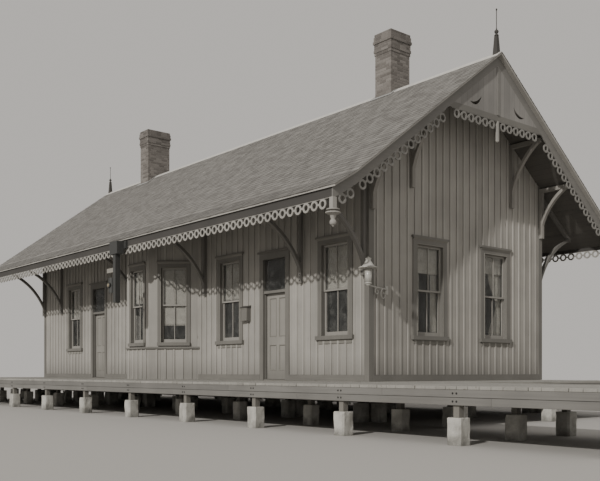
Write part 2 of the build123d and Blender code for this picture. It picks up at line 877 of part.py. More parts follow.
def build_gable_ends():
    """Boarded screen with two moons in each apex on a collar, in the plane of the rake boards."""
    half = collar_half()
    top_half = half - collar_depth / main_slope
    collar = [(ridge_y - half, collar_z), (ridge_y + half, collar_z),
              (ridge_y + top_half, collar_z + collar_depth), (ridge_y - top_half, collar_z + collar_depth)]
    screen = [(ridge_y - top_half, collar_z + collar_depth), (ridge_y + top_half, collar_z + collar_depth),
              (ridge_y, ridge_z - rake_depth)]
    collars = []
    screens = []
    for x in (rake_near_x - trim_t, rake_far_x):
        collars.append(prism_along_x(collar, x, x + trim_t))
        boards = prism_along_x(screen, x, x + trim_t)
        for side in (-1, 1):
            middle = Pos(x, ridge_y + side * moon_offset, ridge_z - moon_drop)
            boards -= middle * Rot(-side * moon_tilt, 0, 0) * moon_cutter()
        screens.append(boards)
    write("gable_collars", collars)
    write("gable_screens", screens)


def turned_drop(length, width, brim_r):
    """A hanging pendant: square neck, two turned brims, a waist and a ball, with its top on z = 0."""
    half = width / 2
    neck = block(-half, half, -half, half, -length * 0.40, 0)
    profile = [(0, 0.36), (half * 0.9, 0.36), (half * 0.9, 0.38), (brim_r * 0.88, 0.40),
               (brim_r * 0.88, 0.43), (half * 1.2, 0.45), (half * 1.2, 0.47), (brim_r, 0.50),
               (brim_r, 0.54), (half * 1.4, 0.59), (half * 0.9, 0.70), (half * 0.8, 0.74),
               (half * 1.2, 0.78), (half * 1.35, 0.84), (half * 1.2, 0.90), (half * 0.6, 0.94),
               (half * 0.3, 0.98), (0, 1)]
    section = Plane.XZ * make_face(Polyline(*[(r, -length * share) for r, share in profile], close=True))
    return neck + revolve(section, axis=Axis.Z)


def plain_drop(length, width):
    """A straight pendant with a ball at its foot, with its top on z = 0."""
    half = width / 2
    ball_r = half * 0.9
    stem = block(-half * 0.7, half * 0.7, -half * 0.7, half * 0.7, -length + ball_r, 0)
    return stem + Pos(0, 0, -length + ball_r) * Sphere(ball_r)


def build_pendants():
    """Pendants at the four eave corners and under the middle of each collar."""
    half = pendant_width / 2
    corner = turned_drop(corner_pendant_length, pendant_width, pendant_arm)
    middle = plain_drop(collar_pendant_length, collar_pendant_width)
    drops = []
    for x in (rake_near_x - half, rake_far_x + half):
        for side in (-1, 1):
            drops.append(Pos(x, ridge_y + side * (roof_half - half), fascia_bottom) * corner)
    for x in (rake_near_x - trim_t / 2, rake_far_x + trim_t / 2):
        drops.append(Pos(x, ridge_y, collar_z) * middle)
    write("pendants", drops)


def bracket(foot, soffit, slope, stand, reach):
    """A leg, an arm under the roof and an arched brace; it reaches out along +X from a wall at x = 0."""
    leg_top = soffit - slope * (stand + bracket_leg)
    leg = [(stand, foot), (stand + bracket_leg, foot), (stand + bracket_leg, leg_top),
           (stand, soffit - slope * stand)]
    tip = soffit - slope * reach
    arm = [(stand, soffit - slope * stand), (reach, tip), (reach, tip - bracket_arm),
           (stand, soffit - slope * stand - bracket_arm)]
    rise = tip - foot
    inside = stand + bracket_leg * 0.4
    run = reach - inside
    low = (inside, foot + rise * 0.10)
    mid = (inside + run * 0.36, foot + rise * 0.62)
    high = (reach - bracket_leg * 0.3, tip - bracket_arm * 0.7)
    shift = (-brace_t * 0.5, brace_t * 0.75)
    low_back = (max(low[0] + shift[0], stand), low[1] + shift[1])
    mid_back = (mid[0] + shift[0], mid[1] + shift[1])
    high_back = (high[0] + shift[0], min(high[1] + shift[1], soffit - slope * (high[0] + shift[0]) - 5))
    edges = [ThreePointArc(low, mid, high), Line(high, high_back),
             ThreePointArc(high_back, mid_back, low_back), Line(low_back, low)]
    outline = make_face(Polyline(*leg, close=True)) + make_face(Polyline(*arm, close=True))
    outline += make_face(edges)
    upright = Rot(90, 0, 0) * extrude(outline, amount=bracket_t)
    return Pos(0, bracket_t / 2, 0) * upright


def build_brackets():
    """Brackets under both eaves, beside doors, bay and windows, and under both ends of the roof."""
    far_corner = station_length - bracket_from_corner
    track_stations = [
        bracket_from_corner,
        door_1 - bracket_before_door,
        bay_middle - bay_foot - bracket_beside_bay,
        bay_middle + bay_foot + bracket_beside_bay,
        window_3 + bracket_after_window,
        far_corner,
    ]
    between = [k * back_pitch for k in range(1, back_window_count)]
    back_stations = [bracket_from_corner] + between + [far_corner]
    foot = deck_top + eave_foot
    soffit = roof_z(track_y, roof_t)
    eaves = []
    sides = ((track_stations, track_y, -90), (back_stations, back_y, 90))
    for stations, wall_y, turn in sides:
        for distance in stations:
            at_corner = min(distance, station_length - distance) < corner_board_width
            stand = casing_t if at_corner else 0
            shape = bracket(foot, soffit, main_slope, stand, eave_reach)
            eaves.append(Pos(along(distance), wall_y, 0) * Rot(0, 0, turn) * shape)
    write("eave_brackets", eaves)
    ends = []
    inner = corner_board_width / 2
    middle_in = gable_middle_offset
    spots = [(inner, gable_corner_foot, casing_t), (middle_in, gable_middle_foot, 0)]
    for offset, foot_height, stand in spots:
        for y in (track_y + offset, back_y - offset):
            low_side = min(roof_z(y - bracket_t / 2, roof_t), roof_z(y + bracket_t / 2, roof_t))
            shape = bracket(deck_top + foot_height, low_side, 0, stand, gable_reach)
            ends.append(Pos(near_x, y, 0) * shape)
            ends.append(Pos(far_x, y, 0) * Rot(0, 0, 180) * shape)
    write("gable_brackets", ends)


def build_chimneys():
    """Brick stacks with a stepped cap and two flues, standing astride the ridge."""
    cap_total = sum(height for _, height in cap_courses)
    roof_below = prism_along_x([(ridge_y - kick_u, 0), (ridge_y - kick_u, kick_z), (ridge_y, ridge_z),
                                (ridge_y + kick_u, kick_z), (ridge_y + kick_u, 0)],
                               roof_far_x, roof_near_x)
    chimneys = []
    for stack in stacks:
        near_face, depth, ahead, rise = stack
        top = ridge_z + rise
        z = top - cap_total
        chimney = chimney_box(stack, 0, eave_z, z)
        for proud, height in cap_courses:
            chimney += chimney_box(stack, proud, z, z + height)
            z += height
        chimney -= roof_below
        middle_x = along(near_face) - chimney_length / 2
        middle_y = ridge_y - ahead + depth / 2
        for side in (-1, 1):
            y = middle_y + side * depth / 4
            half = flue_width / 2
            chimney -= block(middle_x - half, middle_x + half, y - half, y + half, top - flue_depth, top)
        chimneys.append(chimney)
    write("chimneys", chimneys)


def build_finials():
    """A tapered post with a thin rod, straddling the ridge cap at each end."""
    base = finial_width / 2
    tip = finial_width / 4
    root = ridge_z - finial_width
    top = ridge_z + finial_height
    reach = ridge_cap_width
    cap_top = [(ridge_y - reach, roof_z(ridge_y - reach, -ridge_cap_t)),
               (ridge_y, roof_z(ridge_y, -ridge_cap_t)),
               (ridge_y + reach, roof_z(ridge_y + reach, -ridge_cap_t)),
               (ridge_y + reach, root - reach), (ridge_y - reach, root - reach)]
    covered = prism_along_x(cap_top, roof_far_x, roof_near_x)
    finials = []
    for x in (roof_near_x - finial_back, roof_far_x + finial_back):
        lower = Plane.XY.offset(root) * Rectangle(2 * base, 2 * base)
        upper = Plane.XY.offset(top) * Rectangle(2 * tip, 2 * tip)
        post = Pos(x, ridge_y, 0) * loft([lower, upper])
        rod = Pos(x, ridge_y, top + rod_length / 2) * Cylinder(rod_r, rod_length)
        finials.append((post + rod) - covered)
    write("finials", finials)


def build_lamp():
    """Hooded lamp in front of the near track corner, on an arm that rises from the gable wall."""
    x = near_x + lamp_out
    y = track_y - lamp_side
    z = deck_top + lamp_bottom
    profile = [(0, 0), (lamp_body_r * 0.75, 0), (lamp_body_r, lamp_body_height),
               (lamp_brim_r, lamp_body_height), (lamp_brim_r, lamp_body_height + lamp_brim_t),
               (lamp_brim_r * 0.45, lamp_body_height + lamp_brim_t + lamp_hood_height * 0.55),
               (lamp_brim_r * 0.2, lamp_body_height + lamp_hood_height),
               (0, lamp_body_height + lamp_hood_height)]
    half_section = Plane.XZ * make_face(Polyline(*profile, close=True))
    write("corner_lamp", [Pos(x, y, z) * revolve(half_section, axis=Axis.Z)])
    start_y = track_y + lamp_arm_start
    start_z = deck_top + lamp_arm_height
    run_y = start_y - y
    run_x = lamp_out - trim_t
    rise = z - lamp_arm_t / 2 - start_z
    level = math.hypot(run_x, run_y)
    angle = math.degrees(math.atan2(run_x, run_y))
    climb = math.degrees(math.atan2(rise, level))
    half = lamp_arm_t / 2
    bar = block(-half, half, -math.hypot(level, rise), 0, -half, half)
    arm = Pos(near_x + trim_t, start_y, start_z) * Rot(0, 0, angle) * Rot(-climb, 0, 0) * bar
    plate_half = lamp_arm_t * 1.5
    plate = block(near_x, near_x + trim_t + half, start_y - plate_half, start_y + plate_half,
                  start_z - 4 * lamp_arm_t, start_z + 3 * lamp_arm_t)
    foot = Pos(x, y, z - half) * Cylinder(lamp_body_r * 0.5, lamp_arm_t)
    write("corner_lamp_arm", [arm + plate + foot])


def build_fittings():
    """Small box on the track wall, and the signal that hangs at the eave before the bay."""
    half = box_width / 2
    z = deck_top + box_bottom
    body = block(along(box_middle) - half, along(box_middle) + half, track_y - box_depth, track_y,
                 z, z + box_height)
    write("wall_box", [body])
    x = along(signal_middle)
    face = ridge_y - roof_half
    top = roof_z(face - drip_proud, roof_edge_t) - signal_drop
    width, depth, height = signal_plate
    front = face - depth
    signal = block(x - width / 2, x + width / 2, front, face, top - height, top)
    width, depth, height = signal_housing
    middle_y = front - depth / 2
    mast_top = top - height
    signal += block(x - width / 2, x + width / 2, front - depth, front, mast_top, top)
    half = signal_mast / 2
    signal += block(x - half, x + half, middle_y - half, middle_y + half, top - signal_length, mast_top)
    length, depth, height = signal_blade
    blade_top = top - signal_blade_drop
    signal += block(x - half - length, x - half, middle_y - depth / 2, middle_y + depth / 2,
                    blade_top - height, blade_top)
    lamp_z = top - signal_lamp_drop - signal_lamp_height / 2
    signal += Pos(x - signal_lamp_side, middle_y, lamp_z) * Cylinder(signal_lamp_r, signal_lamp_height)
    hook = signal_lamp_hook / 2
    signal += block(x - signal_lamp_side, x - half, middle_y - hook, middle_y + hook,
                    lamp_z - hook, lamp_z + hook)
    write("order_signal", [signal])


def main():
    os.makedirs("parts", exist_ok=True)
    space = under_roof()
    places = window_places()
    build_platform()
    build_base()
    build_walls(space, places)
    build_bay(space, places)
    build_windows(places)
    build_doors()
    build_boards(space)
    build_roof()
    build_fretwork()
    build_gable_ends()
    build_pendants()
    build_brackets()
    build_chimneys()
    build_finials()
    build_lamp()
    build_fittings()


main()
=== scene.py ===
# %% [markdown]
# # A wooden wayside station
#
# The real building is a timber box on stone piers under one very wide roof. Its construction is already
# solid in the imported model: walls, frames, brackets, fretwork and the two hinged doors. What is missing is
# everything that a painter, a shingler or a bricklayer would have added, and the finish of each surface.
#
# The first step loads the imported model. Its pieces stay exactly where they are, and every new piece is
# placed from them.

# %% Load the imported model
import math
from functools import reduce

import bmesh
import bpy
import numpy as np
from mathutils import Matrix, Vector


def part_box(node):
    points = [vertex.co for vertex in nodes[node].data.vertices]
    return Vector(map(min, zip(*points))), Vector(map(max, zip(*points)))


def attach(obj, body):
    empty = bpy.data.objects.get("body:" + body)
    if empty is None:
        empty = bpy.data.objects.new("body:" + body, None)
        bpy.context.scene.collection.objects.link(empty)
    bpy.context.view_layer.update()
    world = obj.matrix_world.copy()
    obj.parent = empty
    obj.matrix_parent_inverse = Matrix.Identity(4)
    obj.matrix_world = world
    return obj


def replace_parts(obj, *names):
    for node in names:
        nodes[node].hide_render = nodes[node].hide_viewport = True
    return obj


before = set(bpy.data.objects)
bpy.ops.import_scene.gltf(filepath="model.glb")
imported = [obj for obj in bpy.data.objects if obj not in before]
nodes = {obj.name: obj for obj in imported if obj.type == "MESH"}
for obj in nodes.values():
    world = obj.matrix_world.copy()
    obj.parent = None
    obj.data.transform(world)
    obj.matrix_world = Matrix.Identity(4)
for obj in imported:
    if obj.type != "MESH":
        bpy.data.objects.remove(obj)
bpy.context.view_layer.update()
scene = bpy.context.scene

# %% [markdown]
# ## Where things are
#
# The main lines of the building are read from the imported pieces, in metres: X runs along the building
# towards its near gable, Y away from the track, Z up. A few sizes that no box gives, such as the roof's
# slope and its kick at the eave, are written here again as the carpenter's drawing would give them.

# %% The building's main lines
gable_low, gable_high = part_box("near_gable_wall")
near_x, track_y, deck_top, back_y = gable_high.x, gable_low.y, gable_low.z, gable_high.y
far_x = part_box("far_gable_wall")[0].x
ridge_y = (track_y + back_y) / 2
ridge_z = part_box("roof_front_slope")[1].z
roof_far_x, roof_near_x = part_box("verge_boards")[0].x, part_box("verge_boards")[1].x
rake_far_x, rake_near_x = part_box("rake_boards")[0].x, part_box("rake_boards")[1].x
wall_t = 0.15
roof_t = 0.17
trim_t = 0.03
roof_edge_t = 0.045
drip_proud = 0.04
kick_run = 0.55
kick_slope = 0.60
eave_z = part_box("eave_fascias")[1].z + roof_edge_t - kick_slope * trim_t
roof_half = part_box("eave_fascias")[1].y - ridge_y
kick_u = roof_half - kick_run
kick_z = eave_z + kick_run * kick_slope
main_slope = (ridge_z - kick_z) / kick_u


def roof_height(y, drop=0.0):
    """Height of the roof's top at y: a steep line from the ridge, then a gentler one past the kick."""
    u = np.abs(np.asarray(y, float) - ridge_y)
    steep = ridge_z - main_slope * u
    gentle = kick_z - kick_slope * (u - kick_u)
    return np.where(u <= kick_u, steep, gentle) - drop


print("walls", round(near_x - far_x, 3), "by", round(back_y - track_y, 3), "m, ridge", round(ridge_z, 3))

# %% [markdown]
# ## Camera
#
# The old photograph was taken from beside the track with a level plate camera whose front was raised, so
# upright edges stay upright and the horizon lies low in the picture. Blender does the same with a lens
# shift. The eye stands about 12 m out from the near corner in both directions, a little above the deck.

# %% Camera
eye_out = 12.47
eye_track = 12.29
eye_above_deck = 0.203
eye_turn = 50.2
lens_mm = 49.5
front_rise = 0.219

camera_data = bpy.data.cameras.new("photo_camera")
camera_data.sensor_width = 36.0
camera_data.lens = lens_mm
camera_data.shift_y = front_rise
camera_data.clip_end = 300.0
camera = bpy.data.objects.new("photo_camera", camera_data)
camera.location = (near_x + eye_out, track_y - eye_track, deck_top + eye_above_deck)
camera.rotation_euler = (math.radians(90), 0, math.radians(eye_turn))
scene.collection.objects.link(camera)
scene.camera = camera
print("camera at", [round(c, 2) for c in camera.location])

# %% [markdown]
# ## Floor and light
#
# A plain pale floor and a pale surround stand in for a studio. The photograph's light comes low over the
# track, from behind the camera and to its left. One sun lamp with slightly soft shadows keeps that
# direction: the track wall is bright under the eave's shadow, and the gable gets the light at a grazing
# angle, which brings out its battens.

# %% Floor and light
floor_half = 60.0
key_travel = (-0.92, 3.0, -1.66)
key_strength = 2.65
key_softness = 1.3
sky_strength = 0.80
pale = (0.44, 0.427, 0.405, 1.0)
sky_colour = (0.70, 0.672, 0.637, 1.0)
key_colour = (1.0, 0.97, 0.92)

floor_mesh = bpy.data.meshes.new("studio_floor")
floor_corners = [(-floor_half, -floor_half, 0), (floor_half, -floor_half, 0),
                 (floor_half, floor_half, 0), (-floor_half, floor_half, 0)]
floor_mesh.from_pydata(floor_corners, [], [(0, 1, 2, 3)])
floor = bpy.data.objects.new("studio_floor", floor_mesh)
scene.collection.objects.link(floor)
floor_material = bpy.data.materials.new("studio_floor")
floor_material.use_nodes = True
floor_shader = floor_material.node_tree.nodes["Principled BSDF"]
floor_shader.inputs["Base Color"].default_value = pale
floor_shader.inputs["Roughness"].default_value = 0.95
floor_mesh.materials.append(floor_material)

world = bpy.data.worlds.new("studio")
world.use_nodes = True
background = world.node_tree.nodes["Background"]
background.inputs["Color"].default_value = sky_colour
background.inputs["Strength"].default_value = sky_strength
scene.world = world

key_data = bpy.data.lights.new("key_light", "SUN")
key_data.energy = key_strength
key_data.angle = math.radians(key_softness)
key_data.color = key_colour
key = bpy.data.objects.new("key_light", key_data)
down = np.array(key_travel) / np.linalg.norm(key_travel)
key.rotation_euler = (math.acos(-down[2]), 0, math.atan2(down[1], down[0]) - math.pi / 2)
scene.collection.objects.link(key)
print("key light travels", down.round(2))

# %% [markdown]
# ## Making meshes from arrays
#
# Nearly everything on a timber building is a board, a brick or a shingle: a block with eight corners. One
# array of corners makes hundreds of them at once, joined in a single mesh. Each block also gets a random
# number of its own, the attribute "tone", so that a material can paint no two boards quite alike.

# %% Blocks from arrays
BLOCK_FACES = np.array([(0, 3, 2, 1), (4, 5, 6, 7), (0, 1, 5, 4), (1, 2, 6, 5), (2, 3, 7, 6), (3, 0, 4, 7)])


def piece_from_arrays(name, points, faces, material, body="station", slot=None, tone=None, smooth=False):
    """One mesh from an array of points and an array of four-cornered faces, riding on a body."""
    mesh = bpy.data.meshes.new(name)
    mesh.from_pydata(points.reshape(-1, 3).tolist(), [], faces.reshape(-1, faces.shape[-1]).tolist())
    if tone is not None:
        layer = mesh.attributes.new("tone", "FLOAT", "POINT")
        layer.data.foreach_set("value", np.asarray(tone, np.float32).ravel())
    mesh.materials.append(material)
    mesh.polygons.foreach_set("use_smooth", [smooth] * len(mesh.polygons))
    mesh.update()
    piece = bpy.data.objects.new(name, mesh)
    scene.collection.objects.link(piece)
    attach(piece, body)
    return piece


def blocks(name, corners, material, bevel=0.0, seed=1, **how):
    """Blocks from an (n, 8, 3) array: four lower corners anticlockwise from above, then the four upper."""
    count = len(corners)
    faces = BLOCK_FACES[None] + 8 * np.arange(count)[:, None, None]
    tone = np.repeat(np.random.default_rng(seed).random(count), 8)
    piece = piece_from_arrays(name, corners, faces, material, tone=tone, **how)
    if bevel:
        edge = piece.modifiers.new("worn_edges", "BEVEL")
        edge.width = bevel
        edge.segments = 1
        edge.limit_method = "ANGLE"
    print(name, count, "blocks")
    return piece


def upright_corners(low, high):
    """Corners of blocks square to the axes, from (n, 3) arrays of their lowest and highest points."""
    low = np.atleast_2d(np.asarray(low, float))
    high = np.atleast_2d(np.asarray(high, float))
    pick = np.array([(0, 0, 0), (1, 0, 0), (1, 1, 0), (0, 1, 0), (0, 0, 1), (1, 0, 1), (1, 1, 1), (0, 1, 1)])
    return low[:, None] + (high - low)[:, None] * pick[None]


# %% [markdown]
# ## Making materials
#
# Each finish is a small tree of nodes that reads the place of a point on the building, so a pattern runs
# on from board to board as weather does. The recipe below has one method for each kind of node that the
# finishes share: noise, a grey scale between two limits, a blend of two colours, and a bump at the end.

# %% A recipe for materials
class Recipe:
    """Builds one material's nodes; most methods return the socket that they made."""

    noise_range = (0.3, 0.7)

    def __init__(self, name, roughness=0.8, metallic=0.0):
        """A new material with the shader's roughness and metallic set, and no relief yet."""
        self.material = bpy.data.materials.new(name)
        self.material.use_nodes = True
        self.tree = self.material.node_tree
        self.shader = self.tree.nodes["Principled BSDF"]
        self.shader.inputs["Roughness"].default_value = roughness
        self.shader.inputs["Metallic"].default_value = metallic
        self.place = self.tree.nodes.new("ShaderNodeTexCoord").outputs["Object"]
        self.relief = None

    def node(self, kind, **settings):
        """A node of the given kind, with its settings."""
        made = self.tree.nodes.new("ShaderNode" + kind)
        for key, value in settings.items():
            setattr(made, key, value)
        return made

    def join(self, value, socket):
        """Links a socket, or sets a constant."""
        if isinstance(value, bpy.types.NodeSocket):
            self.tree.links.new(value, socket)
        else:
            socket.default_value = value

    def stretched(self, scale):
        """The place, scaled along each axis."""
        mapping = self.node("Mapping")
        self.join(self.place, mapping.inputs["Vector"])
        mapping.inputs["Scale"].default_value = scale
        return mapping.outputs["Vector"]

    def noise(self, scale=(1, 1, 1), size=1.0, detail=4.0, rough=0.55):
        """Cloudy noise: scale stretches it along each axis, and a larger size makes it finer."""
        made = self.node("TexNoise")
        self.join(self.stretched(scale), made.inputs["Vector"])
        made.inputs["Scale"].default_value = size
        made.inputs["Detail"].default_value = detail
        made.inputs["Roughness"].default_value = rough
        return made.outputs["Fac"]

    def math(self, how, a, b=0.0):
        """One sum of two numbers, of the kind that how names."""
        made = self.node("Math", operation=how)
        self.join(a, made.inputs[0])
        self.join(b, made.inputs[1])
        return made.outputs[0]

    def between(self, value, low, high, first=0.0, last=1.0):
        """first where the value is at low, last where it is at high, and even between them."""
        made = self.node("MapRange")
        self.join(value, made.inputs["Value"])
        for key, number in (("From Min", low), ("From Max", high), ("To Min", first), ("To Max", last)):
            self.join(number, made.inputs[key])
        return made.outputs[0]

    def spread(self, field, first=0.0, last=1.0):
        """first to last over the range that a noise usually takes."""
        return self.between(field, *self.noise_range, first, last)

    def axis(self, name):
        """One coordinate of the place, in metres."""
        parts = self.node("SeparateXYZ")
        self.join(self.place, parts.inputs[0])
        return parts.outputs[name]

    def tone(self):
        """The random number of each block."""
        return self.node("Attribute", attribute_name="tone").outputs["Fac"]

    def chance(self, number):
        """A random number from 0 to 1 for each whole number."""
        made = self.node("TexWhiteNoise", noise_dimensions="1D")
        self.join(self.math("FLOOR", number), made.inputs["W"])
        return made.outputs["Value"]

    def blend(self, amount, first, last, how="MIX"):
        """first where the amount is 0 and last where it is 1."""
        made = self.node("Mix", data_type="RGBA", blend_type=how)
        self.join(amount, made.inputs[0])
        self.join(first, made.inputs[6])
        self.join(last, made.inputs[7])
        return made.outputs[2]

    def shade(self, colour, amount):
        """The colour times a grey."""
        grey = self.node("CombineColor")
        for channel in range(3):
            self.join(amount, grey.inputs[channel])
        return self.blend(1.0, colour, grey.outputs[0], "MULTIPLY")

    def mottle(self, colour, field, darkest, palest):
        """The colour times a grey that follows a noise."""
        return self.shade(colour, self.spread(field, darkest, palest))

    def raise_by(self, height, depth):
        """Bump: the height from 0 to 1 stands for a depth in metres."""
        bump = self.node("Bump")
        bump.inputs["Strength"].default_value = 1.0
        bump.inputs["Distance"].default_value = depth
        self.join(height, bump.inputs["Height"])
        if self.relief is not None:
            self.join(self.relief, bump.inputs["Normal"])
        self.relief = bump.outputs["Normal"]

    def done(self, colour, roughness=None):
        """Joins the colour, a roughness if there is one, and the relief to the shader."""
        self.join(colour, self.shader.inputs["Base Color"])
        if roughness is not None:
            self.join(roughness, self.shader.inputs["Roughness"])
        if self.relief is not None:
            self.join(self.relief, self.shader.inputs["Normal"])
        return self.material


def rgb(red, green, blue):
    """An opaque colour."""
    return (red, green, blue, 1.0)


print("recipe ready")

# %% [markdown]
# ## Painted and bare timber
#
# The real station was painted in two tones, a light one on the walls and a darker one on its trim. The
# photograph has no colour, so both are warm greys of the right depth. Paint on a board shows the grain as
# long fine streaks, it chalks and wears off in patches, and rain splashes dirt on its foot. The grain runs
# along the board, so the noise is stretched far more along one axis than along the others.

# %% Timber finishes
ALONG = {"x": (1.5, 45, 45), "y": (45, 1.5, 45), "z": (45, 45, 1.5)}
bare_wood = rgb(0.20, 0.185, 0.165)


def timber(name, colour, grain="z", wear=0.66, splash=0.0, roughness=0.78, boards=None, lining=False):
    """Painted or weathered timber: broad stains, streaks along the grain, worn patches and a dirty foot."""
    wood = Recipe(name, roughness)
    stains = wood.noise(size=0.9, detail=3)
    streaks = wood.noise(ALONG[grain], detail=5, rough=0.65)
    worn = wood.noise(tuple(s ** 0.6 for s in ALONG[grain]), size=1.1, detail=6, rough=0.7)
    paint = wood.mottle(colour, stains, 0.86, 1.10)
    paint = wood.mottle(paint, streaks, 0.88, 1.08)
    if boards is None:
        paint = wood.shade(paint, wood.between(wood.tone(), 0, 1, 0.90, 1.08))
    else:
        axis, width = boards
        number = wood.math("DIVIDE", wood.axis(axis), width)
        paint = wood.shade(paint, wood.between(wood.chance(number), 0, 1, 0.92, 1.07))
        edge = wood.math("PINGPONG", wood.axis(axis), width / 2)
        paint = wood.shade(paint, wood.between(edge, 0, 0.004, 0.45, 1.0))
        wood.raise_by(wood.between(edge, 0, 0.004), 0.003)
    patches = wood.between(worn, wear, wear + 0.05)
    surface = wood.blend(patches, paint, bare_wood)
    if splash:
        foot = wood.math("SUBTRACT", wood.axis("Z"), wood.math("MULTIPLY", stains, 0.5))
        surface = wood.shade(surface, wood.between(foot, splash - 0.2, splash + 0.25, 0.72, 1.0))
    if lining:
        surface = room_lining(wood, surface)
    wood.raise_by(streaks, 0.0016)
    wood.raise_by(wood.math("SUBTRACT", 1.0, patches), 0.0006)
    return wood.done(surface, wood.spread(streaks, roughness - 0.08, roughness + 0.1))


def room_lining(wood, outside):
    """Inside the room the same wall shows dark matchboard below and aged plaster above."""
    depths = [wood.math("SUBTRACT", wood.axis("X"), far_x), wood.math("SUBTRACT", near_x, wood.axis("X")),
              wood.math("SUBTRACT", wood.axis("Y"), track_y), wood.math("SUBTRACT", back_y, wood.axis("Y"))]
    depth = reduce(lambda nearest, other: wood.math("MINIMUM", nearest, other), depths)
    plaster = wood.mottle(rgb(0.42, 0.40, 0.36), wood.noise(size=2.5), 0.85, 1.05)
    match = wood.mottle(rgb(0.16, 0.12, 0.085), wood.noise(ALONG["z"]), 0.8, 1.15)
    room = wood.blend(wood.between(wood.axis("Z"), deck_top + 1.2, deck_top + 1.21), match, plaster)
    return wood.blend(wood.between(depth, wall_t - 0.03, wall_t - 0.02), outside, room)


batten_pitch = 0.24
wall_colour = rgb(0.345, 0.33, 0.302)
trim_colour = rgb(0.19, 0.182, 0.165)
splash_height = deck_top + 0.1
paint = {
    "track": timber("wall_paint_track", wall_colour, splash=splash_height, boards=("X", batten_pitch),
                    lining=True),
    "gable": timber("wall_paint_gable", wall_colour, splash=splash_height, boards=("Y", batten_pitch),
                    lining=True),
    "batten": timber("batten_paint", rgb(0.375, 0.36, 0.33), splash=splash_height, wear=0.69),
    "trim": timber("trim_paint", trim_colour, wear=0.70),
    "trim_flat": timber("trim_paint_flat", trim_colour, grain="x", wear=0.70),
    "trim_new": timber("moulding_paint", rgb(0.24, 0.23, 0.205), grain="x", wear=0.74),
    "sash": timber("sash_paint", rgb(0.32, 0.307, 0.28), wear=0.72),
    "door": timber("door_paint", rgb(0.31, 0.297, 0.27), wear=0.69, splash=deck_top + 0.05),
    "dark": timber("dark_trim", rgb(0.062, 0.058, 0.053), grain="x", wear=0.74),
    "fretwork": timber("fretwork_paint", rgb(0.42, 0.405, 0.375), grain="x", wear=0.70),
    "bracket": timber("bracket_paint", rgb(0.30, 0.285, 0.26), wear=0.72),
    "soffit": timber("soffit_boards", rgb(0.12, 0.113, 0.102), grain="x", boards=("Y", 0.13), wear=0.80),
    "screen": timber("gable_screen_paint", rgb(0.25, 0.24, 0.226), boards=("Y", 0.19)),
    "rake": timber("rake_paint", rgb(0.215, 0.207, 0.192), grain="y", wear=0.72),
    # Same rings as at the eave, in a darker paint: painted shade for the gable's grazing light.
    "gable_rings": timber("gable_ring_paint_shaded", rgb(0.25, 0.242, 0.225), grain="y", wear=0.72),
    "pendant": timber("pendant_paint", rgb(0.36, 0.347, 0.32), wear=0.72),
    # Same brackets as on the gables, in a darker paint: painted shade under the eave.
    "eave_bracket": timber("eave_bracket_paint_shaded", rgb(0.19, 0.182, 0.168), wear=0.72),
    "plank": timber("deck_planks", rgb(0.30, 0.29, 0.265), grain="y", wear=0.60, roughness=0.88),
    "beam": timber("platform_timber", rgb(0.18, 0.174, 0.162), grain="x", wear=0.66, roughness=0.88),
    "post": timber("post_timber", rgb(0.20, 0.19, 0.17), wear=0.62, roughness=0.88),
    "floor": timber("floor_planks", rgb(0.17, 0.125, 0.085), grain="x", boards=("Y", 0.14), wear=0.8),
}
print(len(paint), "timber finishes")

# %% [markdown]
# ## Shingles, stone, brick, glass and iron
#
# Shingles weather one by one, so each takes its grey from its own random number, with darker streaks that
# run down the roof. The piers are pale rough stone, darker where they stand in the damp. Bricks differ in
# the fire and are sooty at the top. Old window glass is slightly wavy. Iron is nearly black.

# %% Other finishes
def shingle_finish():
    """Weathered grey shingles, each of its own tone, darker below the kick, with a painted highlight along
    the kick.
    """
    roof = Recipe("weathered_shingles", 0.9)
    streaks = roof.noise((9, 1.2, 1.2), detail=4)
    fibres = roof.noise((160, 8, 8), detail=3)
    grey = roof.blend(roof.tone(), rgb(0.153, 0.146, 0.136), rgb(0.235, 0.226, 0.211))
    grey = roof.mottle(grey, streaks, 0.84, 1.10)
    grey = roof.mottle(grey, fibres, 0.90, 1.06)
    height = roof.axis("Z")
    grey = roof.shade(grey, roof.between(height, kick_z - 0.02, kick_z, 0.86, 1.0))
    # Painted highlight: a thin pale line along the fold at the kick.
    kick_highlight_gap = roof.math("ABSOLUTE", roof.math("SUBTRACT", height, kick_z + 0.012))
    grey = roof.shade(grey, roof.between(kick_highlight_gap, 0.010, 0.022, 1.35, 1.0))
    lichen = roof.between(roof.noise(size=3.5, detail=8, rough=0.7), 0.62, 0.70, 0.0, 0.5)
    roof.raise_by(fibres, 0.002)
    return roof.done(roof.blend(lichen, grey, rgb(0.36, 0.36, 0.32)))


def stone_finish():
    """Pale coarse stone with speckles, and damp dark stains from the ground up."""
    stone = Recipe("rough_stone", 0.93)
    broad = stone.noise(size=5, detail=6)
    speckle = stone.noise(size=90, detail=3)
    grey = stone.blend(stone.spread(broad), rgb(0.34, 0.33, 0.30), rgb(0.56, 0.55, 0.51))
    grey = stone.mottle(grey, speckle, 0.85, 1.08)
    damp = stone.math("ADD", stone.axis("Z"), stone.spread(broad, -0.06, 0.06))
    stone.raise_by(broad, 0.02)
    stone.raise_by(speckle, 0.003)
    return stone.done(stone.shade(grey, stone.between(damp, 0.0, 0.16, 0.55, 1.0)))


def brick_finish():
    """Dark weathered bricks, each of its own tone, with soot towards the top."""
    brick = Recipe("weathered_brick", 0.92)
    grain = brick.noise(size=60, detail=4)
    red = brick.blend(brick.tone(), rgb(0.125, 0.112, 0.102), rgb(0.235, 0.215, 0.198))
    red = brick.mottle(red, grain, 0.8, 1.15)
    soot = brick.between(brick.axis("Z"), ridge_z + 0.8, ridge_z + 1.55, 1.0, 0.80)
    brick.raise_by(grain, 0.003)
    return brick.done(brick.shade(red, soot))


